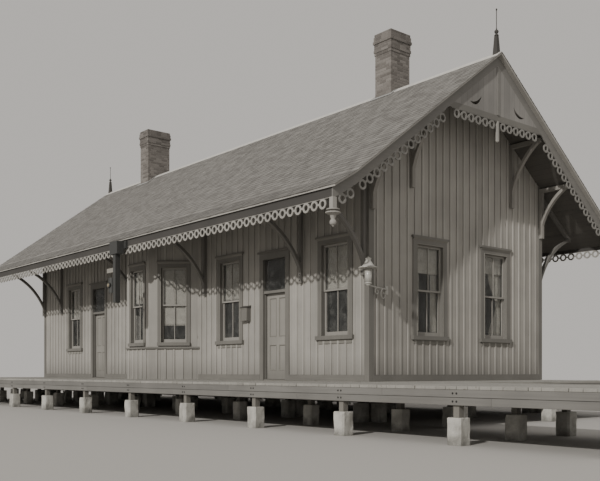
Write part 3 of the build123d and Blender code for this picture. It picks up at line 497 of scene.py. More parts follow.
def mortar_finish():
    """Grey lime mortar, sandy and soft."""
    lime = Recipe("lime_mortar", 0.95)
    sand = lime.noise(size=120, detail=3)
    grey = lime.mottle(rgb(0.235, 0.225, 0.205), sand, 0.75, 1.15)
    lime.raise_by(sand, 0.002)
    return lime.done(grey)


def glass_finish():
    """Old glass: mostly clear, so that sunlight reaches the blinds behind it, with a slow wave and dust."""
    pane = Recipe("old_window_glass", 0.03)
    pane.shader.inputs["IOR"].default_value = 1.75
    dust = pane.noise(size=7, detail=5)
    pane.raise_by(pane.noise(size=3, detail=1), 0.0005)
    pane.join(pane.between(dust, 0.4, 0.75, 0.16, 0.26), pane.shader.inputs["Alpha"])
    tint = pane.blend(pane.between(dust, 0.4, 0.7), rgb(0.10, 0.104, 0.10), rgb(0.20, 0.20, 0.188))
    return pane.done(tint, pane.between(dust, 0.4, 0.8, 0.03, 0.16))


def lamp_glass_finish(name, colour):
    """Milky or coloured lamp glass, clouded with a little soot."""
    globe = Recipe(name, 0.2)
    soot = globe.noise(size=18, detail=4)
    globe.raise_by(soot, 0.0004)
    return globe.done(globe.mottle(colour, soot, 0.82, 1.05))


def metal_finish(name, colour, roughness, metallic, rust=0.7):
    """Painted or bare metal with fine scratches, dull patches and a little rust."""
    metal = Recipe(name, roughness, metallic)
    patches = metal.noise(size=14, detail=6)
    scratches = metal.noise(size=180, detail=2)
    coat = metal.mottle(colour, patches, 0.85, 1.1)
    coat = metal.blend(metal.between(patches, rust, rust + 0.06), coat, rgb(0.11, 0.055, 0.03))
    metal.raise_by(scratches, 0.0005)
    return metal.done(coat, metal.spread(patches, roughness - 0.08, roughness + 0.12))


shingles = shingle_finish()
stone = stone_finish()
brick = brick_finish()
mortar = mortar_finish()
glass = glass_finish()
lamp_glass = lamp_glass_finish("lamp_glass", rgb(0.46, 0.45, 0.42))
signal_glass = lamp_glass_finish("signal_glass", rgb(0.26, 0.22, 0.15))
iron = metal_finish("dark_iron", rgb(0.035, 0.034, 0.033), 0.5, 0.8)
lamp_tin = metal_finish("lamp_sheet_metal", rgb(0.50, 0.49, 0.455), 0.45, 0.0, rust=0.72)
signal_paint = metal_finish("signal_paint", rgb(0.045, 0.046, 0.044), 0.55, 0.0)
# The arm's iron is painted pale like the lamp; part of its paleness is painted light, so that it looks
# sunlit.
lit_arm_iron = metal_finish("lamp_arm_iron", rgb(0.46, 0.45, 0.42), 0.5, 0.0, rust=0.74)
ridge_tin = metal_finish("ridge_sheet_metal", rgb(0.56, 0.545, 0.51), 0.55, 0.0, rust=0.74)
lead = metal_finish("chimney_lead", rgb(0.33, 0.33, 0.32), 0.5, 0.1, rust=0.9)
print("finishes ready")

# %% [markdown]
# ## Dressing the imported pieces
#
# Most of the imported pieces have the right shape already: walls, frames, brackets, rings. They only need
# their finish, so each name below is given one, and what the table forgets is printed.

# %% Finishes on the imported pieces
dress = {
    paint["track"]: ["track_wall_near", "track_wall_mid_near", "track_wall_mid_far", "track_wall_far",
                     "door_head_walls", "back_wall", "bay_header", "skirt_boards", "bay_front_wall"],
    paint["gable"]: ["near_gable_wall", "far_gable_wall", "bay_side_walls"],
    paint["trim"]: ["corner_boards", "track_window_frames", "back_window_frames",
                    "gable_window_frames", "bay_window_frames", "door_frames", "wall_box"],
    paint["trim_flat"]: ["base_boards", "bay_ledge", "gable_collars"],
    paint["sash"]: ["window_sashes"],
    paint["door"]: ["door_1_leaf", "door_2_leaf"],
    paint["dark"]: ["eave_fascias", "finials"],
    paint["rake"]: ["rake_boards"],
    paint["fretwork"]: ["verge_boards", "drip_boards"],
    paint["gable_rings"]: ["gable_fretwork"],
    paint["pendant"]: ["pendants", "eave_fretwork"],
    paint["bracket"]: ["gable_brackets"],
    paint["eave_bracket"]: ["eave_brackets"],
    paint["soffit"]: ["roof_front_slope", "roof_back_slope"],
    paint["screen"]: ["gable_screens"],
    paint["plank"]: ["platform_deck", "end_walkways"],
    paint["beam"]: ["platform_stringers", "sill_beams", "floor_joists"],
    paint["post"]: ["platform_posts"],
    paint["floor"]: ["floor_boards"],
    stone: ["platform_piers", "building_piers"],
    mortar: ["chimneys"],
    glass: ["window_glass", "transom_glass"],
    ridge_tin: ["ridge_cap"],
    iron: ["door_1_knobs", "door_2_knobs", "door_1_hinges", "door_2_hinges", "door_hinge_pins",
           "corner_lamp_arm"],
    lamp_tin: ["corner_lamp"],
    signal_paint: ["order_signal"],
}
for material, names in dress.items():
    for name in names:
        nodes[name].data.materials.clear()
        nodes[name].data.materials.append(material)
dressed = [name for names in dress.values() for name in names]
print("without a finish:", sorted(set(nodes) - set(dressed)))

# %% [markdown]
# ## Shingles
#
# The roof is laid in courses of thin split shingles, each course lapping the one below it. A shingle is a
# wedge: thick at its lower end, thin where the next course covers it. The blocks are worked out course by
# course along the slope, widths at random, and then bent onto the roof: a length along the slope and a
# lift square to it become a place in the world.

# %% Shingle courses
exposure = 0.14
shingle_lap = 0.03
shingle_butt = 0.012
shingle_tip = 0.003
shingle_overhang = 0.018
shingle_widths = (0.09, 0.21)
shingle_narrow = 0.05
shingle_draw_w = 0.12
shingle_joint = 0.003
shingle_ragged = 0.006
shingle_lift = 0.0005
kick_angle = math.atan(kick_slope)
main_angle = math.atan(main_slope)
kick_length = kick_run / math.cos(kick_angle)
slope_length = kick_length + kick_u / math.cos(main_angle)
shingle_reach = drip_proud / math.cos(kick_angle) + shingle_overhang


def on_slope(side, x, climb, lift):
    """Corners of blocks on a roof slope: climb runs up from the eave past the kick, lift is square to it."""
    low = climb < kick_length
    angle = np.where(low, kick_angle, main_angle)
    run = np.where(low, climb, climb - kick_length)
    u = np.where(low, roof_half, kick_u) - run * np.cos(angle) + lift * np.sin(angle)
    z = np.where(low, eave_z, kick_z) + run * np.sin(angle) + lift * np.cos(angle)
    corners = np.stack([x + 0 * z, ridge_y + side * u, z], -1)
    return corners if side < 0 else corners[..., [1, 0, 3, 2, 5, 4, 7, 6], :]


def shingle_slope(name, side, seed):
    """All the shingles of one slope, from the eave to the ridge boards."""
    rng = np.random.default_rng(seed)
    start, end = roof_far_x - shingle_overhang, roof_near_x + shingle_overhang
    courses = int((slope_length + shingle_reach) / exposure)
    rows = []
    for k in range(courses):
        edges = start + np.cumsum(rng.uniform(*shingle_widths, int((end - start) / shingle_draw_w)))
        edges = np.concatenate([[start], edges[edges < end - shingle_narrow], [end]])
        left, right = edges[:-1] + shingle_joint / 2, edges[1:] - shingle_joint / 2
        count = len(left)
        foot = k * exposure - shingle_reach + rng.uniform(-shingle_ragged, shingle_ragged, count)
        head = np.minimum(np.full(count, (k + 1) * exposure - shingle_reach + shingle_lap), slope_length)
        butt = shingle_butt * rng.uniform(0.75, 1.2, count)
        x = np.stack([left, right, right, left] * 2, 1)
        climb = np.stack([foot, foot, head, head] * 2, 1)
        under, tip = np.full(count, shingle_lift), np.full(count, shingle_tip)
        rows.append(on_slope(side, x, climb, np.stack([under] * 4 + [butt, butt, tip, tip], 1)))
    blocks(name, np.concatenate(rows), shingles, seed=seed, slot="roof_shingles")


shingle_slope("roof_shingles_front", -1, 11)
shingle_slope("roof_shingles_back", 1, 12)

# %% [markdown]
# ## Battens
#
# The walls are wide upright boards with a narrow batten over each joint. On the gable the battens stand
# about 24 cm apart, which the photograph shows clearly, because the low sun lights one side of each. A
# batten stops at the base board, at the roof, and above and below every opening.

# %% Battens on the walls
batten_w = 0.055
batten_t = 0.02
batten_clearance = 0.004
shortest_batten = 0.05
base_top = deck_top + 0.14
window_w, window_sill, window_head, sill_drop = 0.92, 0.98, 3.08, 0.06
door_w, door_head = 0.934, 2.98
casing_w, head_board, cap_t, cap_overhang, batten_gap = 0.11, 0.12, 0.045, 0.04, 0.03
trim_reach = casing_w + cap_overhang + batten_gap
window_span = (deck_top + window_sill - sill_drop, deck_top + window_head + head_board + cap_t)
door_span = (deck_top, deck_top + door_head + head_board + cap_t)
track_windows = (1.065, 5.105, 14.42)
doors = (3.24, 12.60)
bay_middle = 8.195
bay_front = 1.25
bay_out = 0.99
bay_half = bay_front / 2 + bay_out
bay_edge = 0.05
wall_length, gable_length = near_x - far_x, back_y - track_y
back_windows = [(k + 0.5) * wall_length / 5 for k in range(5)]
gable_windows = [gable_length / 2 + offset for offset in (-1.2, 1.2)]


def windows_at(middles):
    """Openings as (middle, half width, (foot, top)), trim included."""
    return [(middle, window_w / 2 + trim_reach, window_span) for middle in middles]


def runs_of_batten(place, foot, top, openings):
    """Stretches of one batten between foot and top that no opening interrupts."""
    cuts = sorted(span for middle, half, span in openings if abs(place - middle) < half)
    feet = [foot] + [high for _, high in cuts]
    tops = [low for low, _ in cuts] + [top]
    return [(a, b) for a, b in zip(feet, tops) if b - a > shortest_batten]


def wall_battens(name, length, plan, openings, seed):
    """Battens along a wall, cut under the soffit; plan gives a batten's ((x0, y0), (x1, y1)) at a place."""
    low, high = [], []
    for place in batten_pitch * np.arange(1, int(length / batten_pitch)):
        (x0, y0), (x1, y1) = plan(place)
        top = roof_height([y0, y1], roof_t).min() - batten_clearance
        for foot, head in runs_of_batten(place, base_top, top, openings):
            low.append((x0, y0, foot))
            high.append((x1, y1, head))
    blocks(name, upright_corners(low, high), paint["batten"], 0.003, seed, slot="siding")


def long_wall(y0, y1):
    """Plan of a batten on a long wall whose strip runs from y0 to y1; places count from the near end."""
    return lambda place: ((near_x - place - batten_w / 2, y0), (near_x - place + batten_w / 2, y1))


def gable_wall(x0, x1):
    """Plan of a batten on a gable whose strip runs from x0 to x1; places count from the track."""
    return lambda place: ((x0, track_y + place - batten_w / 2), (x1, track_y + place + batten_w / 2))


track_openings = windows_at(track_windows) + [(bay_middle, bay_half + bay_edge, (0.0, ridge_z))]
track_openings += [(middle, door_w / 2 + trim_reach, door_span) for middle in doors]
wall_battens("track_battens", wall_length, long_wall(track_y - batten_t, track_y), track_openings, 21)
wall_battens("back_battens", wall_length, long_wall(back_y, back_y + batten_t), windows_at(back_windows), 22)
wall_battens("near_gable_battens", gable_length, gable_wall(near_x, near_x + batten_t),
             windows_at(gable_windows), 23)
wall_battens("far_gable_battens", gable_length, gable_wall(far_x - batten_t, far_x),
             windows_at(gable_windows), 24)

# %% [markdown]
# ## The platform's planks
#
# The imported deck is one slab. The real one is planks laid across the stringers, with gaps that let the
# rain through and ends that don't quite line up. They replace the slabs and keep their thickness.

# %% Deck planks
plank_w = 0.20
plank_gap = 0.006
plank_ragged = 0.012
plank_sink = 0.0035


def plank_deck(name, node, spans, seed):
    """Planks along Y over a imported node's slabs, each slab given by its ends along X."""
    deck_low, deck_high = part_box(node)
    rng = np.random.default_rng(seed)
    low, high = [], []
    for start, end in spans:
        count = round((end - start) / plank_w)
        edges = np.linspace(start, end, count + 1)
        front = deck_low.y + rng.uniform(0.0, plank_ragged, count)
        top = deck_high.z - rng.uniform(0.0, plank_sink, count)
        low.append(np.stack([edges[:-1] + plank_gap / 2, front, np.full(count, deck_low.z)], 1))
        high.append(np.stack([edges[1:] - plank_gap / 2, np.full(count, deck_high.y), top], 1))
    corners = upright_corners(np.concatenate(low), np.concatenate(high))
    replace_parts(blocks(name, corners, paint["plank"], 0.004, seed, slot="deck_planks"), node)


deck_low, deck_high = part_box("platform_deck")
walk_low, walk_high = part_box("end_walkways")
plank_deck("deck_planks", "platform_deck", [(deck_low.x, deck_high.x)], 31)
plank_deck("walkway_planks", "end_walkways", [(walk_low.x, far_x), (near_x, walk_high.x)], 32)

# %% [markdown]
# ## Boards under the deck's edge
#
# Two boards on edge close the front of the platform between the deck and the stringer's foot. They are
# nailed to the outer stringer, end to end, and the photograph shows the line between them. The same pair
# closes both ends.

# %% Edge boards
edge_board_t = 0.022
edge_board_gap = 0.006
edge_top_gap = 0.002
edge_run = 4.2
edge_joint = 0.001
shortest_edge_board = 0.5
walkway_inset = 0.03
stringer_low, stringer_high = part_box("platform_stringers")
edge_front = stringer_low.y - edge_board_t


def edge_rows(bottom, top):
    """Heights of the two boards, as (foot, top) pairs with a gap between them."""
    middle = (bottom + top) / 2
    return [(bottom, middle - edge_board_gap / 2), (middle + edge_board_gap / 2, top)]


def edge_boards():
    """Boards along the front in lengths, and across the two ends of the platform and of the walkways."""
    low, high = [], []
    joints = np.arange(stringer_low.x, stringer_high.x, edge_run)
    ends = [(stringer_low.x, -1, edge_front, track_y), (stringer_high.x, 1, edge_front, track_y),
            (walk_low.x + walkway_inset, -1, track_y + walkway_inset, back_y),
            (walk_high.x - walkway_inset, 1, track_y + walkway_inset, back_y)]
    for row, (foot, top) in enumerate(edge_rows(stringer_low.z, stringer_high.z - edge_top_gap)):
        starts = joints + row * edge_run / 2 * (joints > joints[0])
        starts = np.append(starts[starts < stringer_high.x - shortest_edge_board], stringer_high.x)
        for a, b in zip(starts[:-1], starts[1:]):
            low.append((a + edge_joint, edge_front, foot))
            high.append((b - edge_joint, stringer_low.y, top))
        for x, out, y0, y1 in ends:
            x0, x1 = sorted((x, x + out * edge_board_t))
            low.append((x0, y0, foot))
            high.append((x1, y1, top))
    blocks("platform_edge_boards", upright_corners(low, high), paint["beam"], 0.003, 33,
           slot="platform_timber")


edge_boards()

# %% [markdown]
# ## Rough stone piers
#
# Each pier is one block of field stone, hammered roughly square. A stone is a ring carried up a profile: the
# ring is a square with soft corners, and a few slow waves and some chipping push its surface inwards, so
# that no two stones match. Flat shading keeps the hammered faces.

# %% Stones
seam = 1e-5
stone_rings = np.array([(0, 0), (0, 0.97), (0.02, 1), (0.16, 1), (0.32, 1), (0.5, 1), (0.68, 1), (0.84, 1),
                        (0.97, 0.99), (1, 0.95), (1, 0)])
stone_sides = 24
stone_waves = (0.035, 0.03, 0.025)
stone_chip = 0.05
stone_fill = 0.985
stone_depth = 0.8
stone_squareness = 0.93


def ring_faces(rows, columns, count=1):
    """Faces of grids whose columns run round and meet, for count grids of rows by columns points."""
    r, c = np.meshgrid(np.arange(rows - 1), np.arange(columns), indexing="ij")
    right = (c + 1) % columns
    below, above = r * columns, (r + 1) * columns
    one = np.stack([below + c, below + right, above + right, above + c], -1)
    return one.reshape(1, -1, 4) + rows * columns * np.arange(count)[:, None, None]


def close_seams(piece, outwards=False):
    """Merges points that share a place, which closes poles and ends, and may turn every face outwards."""
    shape = bmesh.new()
    shape.from_mesh(piece.data)
    bmesh.ops.remove_doubles(shape, verts=shape.verts, dist=seam)
    if outwards:
        bmesh.ops.recalc_face_normals(shape, faces=shape.faces)
    shape.to_mesh(piece.data)
    shape.free()
    return piece


def boxes_of(node):
    """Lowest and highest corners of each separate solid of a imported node, as two arrays."""
    shape = bmesh.new()
    shape.from_mesh(nodes[node].data)
    bmesh.ops.remove_doubles(shape, verts=shape.verts, dist=seam)
    left, low, high = set(shape.verts), [], []
    while left:
        stack, found = [left.pop()], []
        while stack:
            point = stack.pop()
            found.append(point.co[:])
            for edge in point.link_edges:
                other = edge.other_vert(point)
                if other in left:
                    left.remove(other)
                    stack.append(other)
        low.append(np.min(found, 0))
        high.append(np.max(found, 0))
    shape.free()
    order = np.lexsort(np.round(np.array(low), 3).T)
    return np.array(low)[order], np.array(high)[order]


def rough_stones(name, node, seed):
    """A stone in each box of the node: a soft square ring times a profile, pushed in by waves and chips."""
    low, high = boxes_of(node)
    count = len(low)
    rng = np.random.default_rng(seed)
    heights, reaches = stone_rings.T
    turn = (np.arange(stone_sides) + 0.5) * 2 * np.pi / stone_sides
    square = np.maximum(np.abs(np.cos(turn)), np.abs(np.sin(turn))) ** -stone_squareness
    starts = rng.uniform(0, 2 * np.pi, (count, 3, 1, 1)).swapaxes(0, 1)
    u, v = turn[None, None, :], heights[None, :, None]
    dent = rng.uniform(0, stone_chip, (count, len(heights), stone_sides))
    for deep, angle, start in zip(stone_waves, (2 * u + 2 * v, 5 * u - 5 * v, u + 9 * v), starts):
        dent = dent + deep * (1 + np.sin(angle + start))
    reach = reaches[:, None] * square * stone_fill / square.max() * np.sqrt(2) * (1 - dent * stone_depth)
    flat = np.clip(reach[..., None] * np.stack([np.cos(turn), np.sin(turn)], -1), -1, 1)
    half, middle = ((high - low) / 2)[:, None, None], ((high + low) / 2)[:, None, None]
    z = low[:, None, None, 2] + 2 * half[..., 2] * v + 0 * reach
    points = np.concatenate([middle[..., :2] + half[..., :2] * flat, z[..., None]], -1)
    tone = np.repeat(rng.random(count), len(heights) * stone_sides)
    piece = piece_from_arrays(name, points, ring_faces(len(heights), stone_sides, count), stone, tone=tone,
                              slot="stone")
    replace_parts(close_seams(piece), node)
    print(name, count, "stones")


rough_stones("platform_stones", "platform_piers", 41)
rough_stones("building_stones", "building_piers", 42)

# %% [markdown]
# ## Brickwork
#
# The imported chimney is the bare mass. Bricks in running bond stand a few millimetres proud of it, so that
# the mass shows between them as mortar. The stack is corbelled out course by course to its cap. A course of
# bricks is one loop round a rectangle: whole bricks on two sides, and the other two sides between them.

# %% Chimney bricks
brick_l, brick_h, mortar_t, brick_proud, brick_depth, brick_least = 0.215, 0.065, 0.010, 0.004, 0.06, 0.04
stack_foot = 0.6
brick_bury = 0.10
brick_show = 0.02
chimney_low, chimney_high = boxes_of("chimneys")
cap_proud_by = ((0.015, 0.075), (0.030, 0.075), (0.020, 0.150), (0.045, 0.075), (0.030, 0.110),
                (0.015, 0.075))
cap_total = sum(height for _, height in cap_proud_by)
cap_reach = max(proud for proud, _ in cap_proud_by)
stack_halves = (chimney_high - chimney_low)[:, :2] / 2 - cap_reach
stack_middles = (chimney_high + chimney_low)[:, :2] / 2


def brick_ring(middle, half, z0, z1, shift):
    """Corners of one course: bricks along both long faces and, between them, along both short faces."""
    (x0, y0), (x1, y1) = middle - half, middle + half
    low, high = [], []
    for a0, a1, b0, b1, swap in ((x0, x1, y0, y1, False), (y0 + brick_depth, y1 - brick_depth, x0, x1, True)):
        pitch = brick_l + mortar_t
        cuts = np.arange(a0 - (1 - shift) * pitch, a1 + pitch, pitch)
        cuts = np.concatenate([[a0], cuts[(cuts > a0 + brick_least) & (cuts < a1 - brick_least)], [a1]])
        for left, right in zip(cuts[:-1], cuts[1:]):
            for near, far in ((b0, b0 + brick_depth), (b1 - brick_depth, b1)):
                first = (left + mortar_t / 2 * (left > a0), near, z0)
                last = (right - mortar_t / 2 * (right < a1), far, z1)
                low.append((first[1], first[0], z0) if swap else first)
                high.append((last[1], last[0], z1) if swap else last)
    return low, high


def chimney_bricks():
    """All courses of both stacks, from under the shingles up to the cap's last course."""
    low, high = [], []
    for middle, half, top in zip(stack_middles, stack_halves, chimney_high[:, 2]):
        tiers = [(0.0, ridge_z - stack_foot, top - cap_total)]
        z = top - cap_total
        for proud, height in cap_proud_by:
            tiers.append((proud, z, z + height))
            z += height
        for proud, z0, z1 in tiers:
            rows = max(1, round((z1 - z0) / (brick_h + mortar_t)))
            step = (z1 - z0) / rows
            for k in range(rows):
                foot = z0 + k * step + mortar_t / 2
                head = min(z0 + (k + 1) * step - mortar_t / 2, top - brick_proud)
                ring = brick_ring(middle, half + proud + brick_proud, foot, head, 0.5 * (k % 2) + 0.25)
                low += ring[0]
                high += ring[1]
    low, high = np.array(low), np.array(high)
    on_roof = roof_height((low[:, 1] + high[:, 1]) / 2, brick_bury)
    low[:, 2] = np.maximum(low[:, 2], on_roof)
    stands = high[:, 2] > on_roof + brick_show
    blocks("chimney_bricks", upright_corners(low[stands], high[stands]), brick, 0.003, 43, slot="brick")


chimney_bricks()

# %% [markdown]
# ## Joined shapes
#
# Mouldings, irons and drops are small, and each kind goes into one piece. A shape here is a pair: an array of
# points and an array of faces. Three helpers make most of them: a profile turned round an upright axis, a
# round rod along a curve, and a moulding mitred round a rectangle.

# %% Turned, bent and mitred shapes
def gathered(shapes):
    """One pair from many (points, faces) pairs."""
    points, faces, start = [], [], 0
    for p, f in shapes:
        points.append(p.reshape(-1, 3))
        faces.append(f.reshape(-1, 4) + start)
        start += len(points[-1])
    return np.concatenate(points), np.concatenate(faces)


def turned(profile, centre, segments=20):
    """A profile of (radius, height) pairs, from foot to top, turned round the upright line through centre."""
    radius, height = np.array(profile, float).T
    turn = np.arange(segments) * 2 * np.pi / segments
    x = radius[:, None] * np.cos(turn) + centre[0]
    y = radius[:, None] * np.sin(turn) + centre[1]
    z = np.repeat(height[:, None] + centre[2], segments, 1)
    return np.stack([x, y, z], -1), ring_faces(len(radius), segments)


def rod(path, radius, side, segments=10):
    """A round rod: rings of the radius round each point of the path; side is square to a flat path."""
    path, side = np.array(path, float), np.array(side, float)
    forward = np.gradient(path, axis=0)
    forward /= np.linalg.norm(forward, axis=1)[:, None]
    lift = np.cross(forward, side)
    thick = np.broadcast_to(radius, len(path)).astype(float)
    path = np.concatenate([path[:1], path, path[-1:]])
    thick = np.concatenate([[0.0], thick, [0.0]])
    lift = np.concatenate([lift[:1], lift, lift[-1:]])
    turn = np.arange(segments) * 2 * np.pi / segments
    ring = np.cos(turn)[None, :, None] * side + np.sin(turn)[None, :, None] * lift[:, None]
    return path[:, None] + thick[:, None, None] * ring, ring_faces(len(path), segments)


def mitred(x0, x1, z0, z1, profile):
    """A moulding round a rectangle of a wall: profile points are (outwards in the wall, towards the room)."""
    corners = np.array([(x0, z0), (x1, z0), (x1, z1), (x0, z1)])
    away = np.array([(-1, -1), (1, -1), (1, 1), (-1, 1)])
    out, deep = np.array(profile, float).T
    flat = corners[:, None] + away[:, None] * out[None, :, None]
    points = np.stack([flat[..., 0], np.broadcast_to(deep, flat.shape[:2]), flat[..., 1]], -1)
    n = len(out)
    r, c = np.meshgrid(np.arange(4), np.arange(n), indexing="ij")
    below, right = (r + 1) % 4, (c + 1) % n
    return points, np.stack([r * n + c, r * n + right, below * n + right, below * n + c], -1)


def crown(x0, x1, z0, profile):
    """A straight moulding from x0 to x1 whose section is (towards the room, up) pairs, with closed ends."""
    deep, up = np.array(profile, float).T
    xs = np.array([x0, x0, x1, x1])
    size = np.array([0.0, 1.0, 1.0, 0.0])[:, None]
    y = deep.mean() + size * (deep - deep.mean())
    z = z0 + up.mean() + size * (up - up.mean())
    points = np.stack([np.broadcast_to(xs[:, None], y.shape), y, z], -1)
    return points, ring_faces(4, len(deep))


def shaped(name, shapes, material, **how):
    """One closed piece from many shapes."""
    return close_seams(piece_from_arrays(name, *gathered(shapes), material, **how), outwards=True)


def on_wall(shape, place):
    """Turns a shape from a wall's own frame (x along, y into the room, z up) and moves it to its place."""
    points, faces = shape
    x, y, turn = place
    c, s = math.cos(math.radians(turn)), math.sin(math.radians(turn))
    p = points.reshape(-1, 3)
    return np.stack([x + c * p[:, 0] - s * p[:, 1], y + s * p[:, 0] + c * p[:, 1], p[:, 2]], 1), faces


def blocks_on_wall(low, high, place):
    """Corners of blocks in a wall's own frame, turned onto the wall."""
    return on_wall((upright_corners(low, high), None), place)[0].reshape(-1, 8, 3)


bay_shift = bay_front / 2 + bay_out / 2
window_places = {
    "track": [(near_x - d, track_y, 0) for d in track_windows],
    "back": [(near_x - d, back_y, 180) for d in back_windows],
    "near": [(near_x, track_y + d, 90) for d in gable_windows],
    "far": [(far_x, track_y + d, -90) for d in gable_windows],
    "bay": [(near_x - bay_middle + bay_shift, track_y - bay_out / 2, 45),
            (near_x - bay_middle, track_y - bay_out, 0),
            (near_x - bay_middle - bay_shift, track_y - bay_out / 2, -45)],
}
print(sum(len(places) for places in window_places.values()), "windows")

# %% [markdown]
# ## Window mouldings
#
# A crown moulding sits under each window's cap, a small ogee runs round the inner edge of its casing, and an
# apron with a bead hangs under its sill. They are thin, but their shadow lines are what the eye reads as
# joiner's work.

# %% Crowns, beads and aprons
apron_h = 0.09
apron_inset = 0.02
frame_inset = 0.03
crown_profile = [(-0.024, 0.0), (-0.034, 0.006), (-0.038, 0.018), (-0.052, 0.030), (-0.058, 0.045),
                 (-0.020, 0.045), (-0.020, 0.0)]
bead_profile = [(0.0, -0.025), (0.004, -0.034), (0.012, -0.036), (0.018, -0.031), (0.024, -0.025),
                (0.024, -0.020), (0.0, -0.020)]
apron_profile = [(0.0, 0.0), (-0.018, 0.0), (-0.022, 0.008), (-0.018, 0.016), (-0.018, 0.07),
                 (-0.030, 0.082), (-0.030, 0.09), (0.0, 0.09)]
window_sizes = {side: (0.76, 0.075) if side == "bay" else (window_w, casing_w) for side in window_places}


def window_mouldings():
    """Crown, inner bead and apron of every window, in the walls' own frames, joined."""
    shapes = []
    sill, top = deck_top + window_sill, deck_top + window_head
    for side, places in window_places.items():
        width, casing = window_sizes[side]
        half, inner = width / 2, width / 2 - frame_inset
        parts = [crown(-half - casing, half + casing, top + head_board - cap_t, crown_profile),
                 mitred(-inner, inner, sill + frame_inset, top - frame_inset, bead_profile)]
        if side != "bay":
            reach = half + casing - apron_inset
            parts.append(crown(-reach, reach, sill - sill_drop - apron_h, apron_profile))
        shapes += [on_wall(part, place) for place in places for part in parts]
    shaped("window_mouldings", shapes, paint["trim_new"], slot="trim_paint")


window_mouldings()
print("window mouldings made")

# %% [markdown]
# ## Roller blinds
#
# Most windows have a pale roller blind behind the glass, drawn down by a different amount in each. A blind
# hangs from the window's head and bows a little between its sides. Each blind is one sheet of cloth, and its
# flat size is its width and the drop that hangs.

# %% Blinds
blind_depth = 0.125
blind_margin = 0.09
blind_bow = 0.006
blind_ripple = 0.0015
cloth_t = 0.001
cloth_weave = 2200.0
blind_drops = {"track": (1.02, 0.98, 1.0), "back": (1.98, 1.3, 1.7, 1.0, 1.4), "near": (0.62, 0.45),
               "far": (1.1, 0.6), "bay": (1.58, 0.94, 1.2)}


def blind_finish():
    """Cream holland cloth: a fine weave, slightly stained."""
    cloth = Recipe("blind_cloth", 0.9)
    across = cloth.math("SINE", cloth.math("MULTIPLY", cloth.axis("Z"), cloth_weave))
    cloth.raise_by(across, 0.0002)
    return cloth.done(cloth.mottle(rgb(0.56, 0.54, 0.48), cloth.noise(size=4, detail=5), 0.85, 1.05))


blind_cloth = blind_finish()


def cloth_sheet(name, points, place):
    """One thin sheet from a grid of points (x, depth, z) in a wall's own frame."""
    rows, columns = points.shape[:2]
    r, c = np.meshgrid(np.arange(rows - 1), np.arange(columns - 1), indexing="ij")
    above, below = r * columns + c, (r + 1) * columns + c
    faces = np.stack([above, below, below + 1, above + 1], -1)
    sheet = piece_from_arrays(name, *on_wall((points, faces), place), blind_cloth, smooth=True)
    sheet.modifiers.new("cloth", "SOLIDIFY").thickness = cloth_t
    return sheet


def blind(name, place, width, drop):
    """A grid over x and v, 0 at the top and 1 at the foot: depth bows by 1 - (2x/w)^2 and ripples."""
    x, v = np.meshgrid(np.linspace(-width / 2, width / 2, 13), np.linspace(0, 1, 19))
    bow = blind_bow * (1 - (2 * x / width) ** 2) * v + blind_ripple * np.sin(9 * v + 3 * x)
    points = np.stack([x, blind_depth + bow, deck_top + window_head - frame_inset - drop * v], -1)
    sheet = cloth_sheet(name, points, place)


for side, places in window_places.items():
    for number, (place, drop) in enumerate(zip(places, blind_drops[side]), 1):
        blind(f"blind_{side}_{number}", place, window_sizes[side][0] - blind_margin, drop)
print("blinds hung")

# %% [markdown]
# ## Curtains in the near gable
#
# The two gable windows have light curtains behind their blinds. A gathered curtain is a sheet whose columns
# follow a wave: the narrower the space, the deeper the folds. One of them is tied back to its side, so its
# width shrinks towards the tie and spreads again below it. Each pair hangs from an iron rod.

# %% Curtains and their rods
curtain_depth = 0.172
curtain_top = deck_top + window_head - 0.05
curtain_drop = 1.95
curtain_rod_r = 0.006
fold_depth = 0.011
fold_flare = 0.004
tie_place = 0.62
tie_spread = 0.24
half_pane = 0.43


def curtain(name, place, x0, x1, folds, seed, pinch=0.0):
    """Rows of a wave: x = x0 + (x1 - x0) s w(v), depth = d + a sin(2 pi folds s); pinch narrows w."""
    rng = np.random.default_rng(seed)
    s, v = np.meshgrid(np.linspace(0, 1, folds * 8 + 1), np.linspace(0, 1, 25))
    width = 1 - pinch * np.exp(-((v - tie_place) / tie_spread) ** 2)
    wave = np.sin(2 * np.pi * folds * s + 0.5 * np.sin(3 * v + rng.uniform(0, 6)))
    depth = curtain_depth + (fold_depth + fold_flare * v) * wave
    points = np.stack([x0 + (x1 - x0) * s * width, depth, curtain_top - curtain_drop * v], -1)
    sheet = cloth_sheet(name, points, place)


near_1, near_2 = window_places["near"]
rod_path = [(x, curtain_depth, curtain_top) for x in (-half_pane, 0, half_pane)]
rods = [on_wall(rod(rod_path, curtain_rod_r, (0, 0, 1), 8), place) for place in (near_1, near_2)]
shaped("curtain_rods", rods, iron, slot="dark_iron")
curtain("curtain_near_1_left", near_1, -half_pane, -0.18, 5, 3)
curtain("curtain_near_1_right", near_1, half_pane, 0.20, 5, 4)
curtain("curtain_near_2_left", near_2, -half_pane, -0.20, 5, 5)
curtain("curtain_near_2_right", near_2, half_pane, -0.10, 9, 6, pinch=0.62)
print("curtains hung")

# %% [markdown]
# ## Battens on the bay
#
# The bay is boarded like the walls, and its battens stop at the ledge under the windows and at their caps.
# They are boxes in each face's own frame, where x runs along the face, and are then turned onto it.

# %% Battens on the bay
bay_halves = (bay_out / math.sqrt(2), bay_front / 2, bay_out / math.sqrt(2))
bay_ledge_rise = 0.84
bay_soffit_gap = 0.03


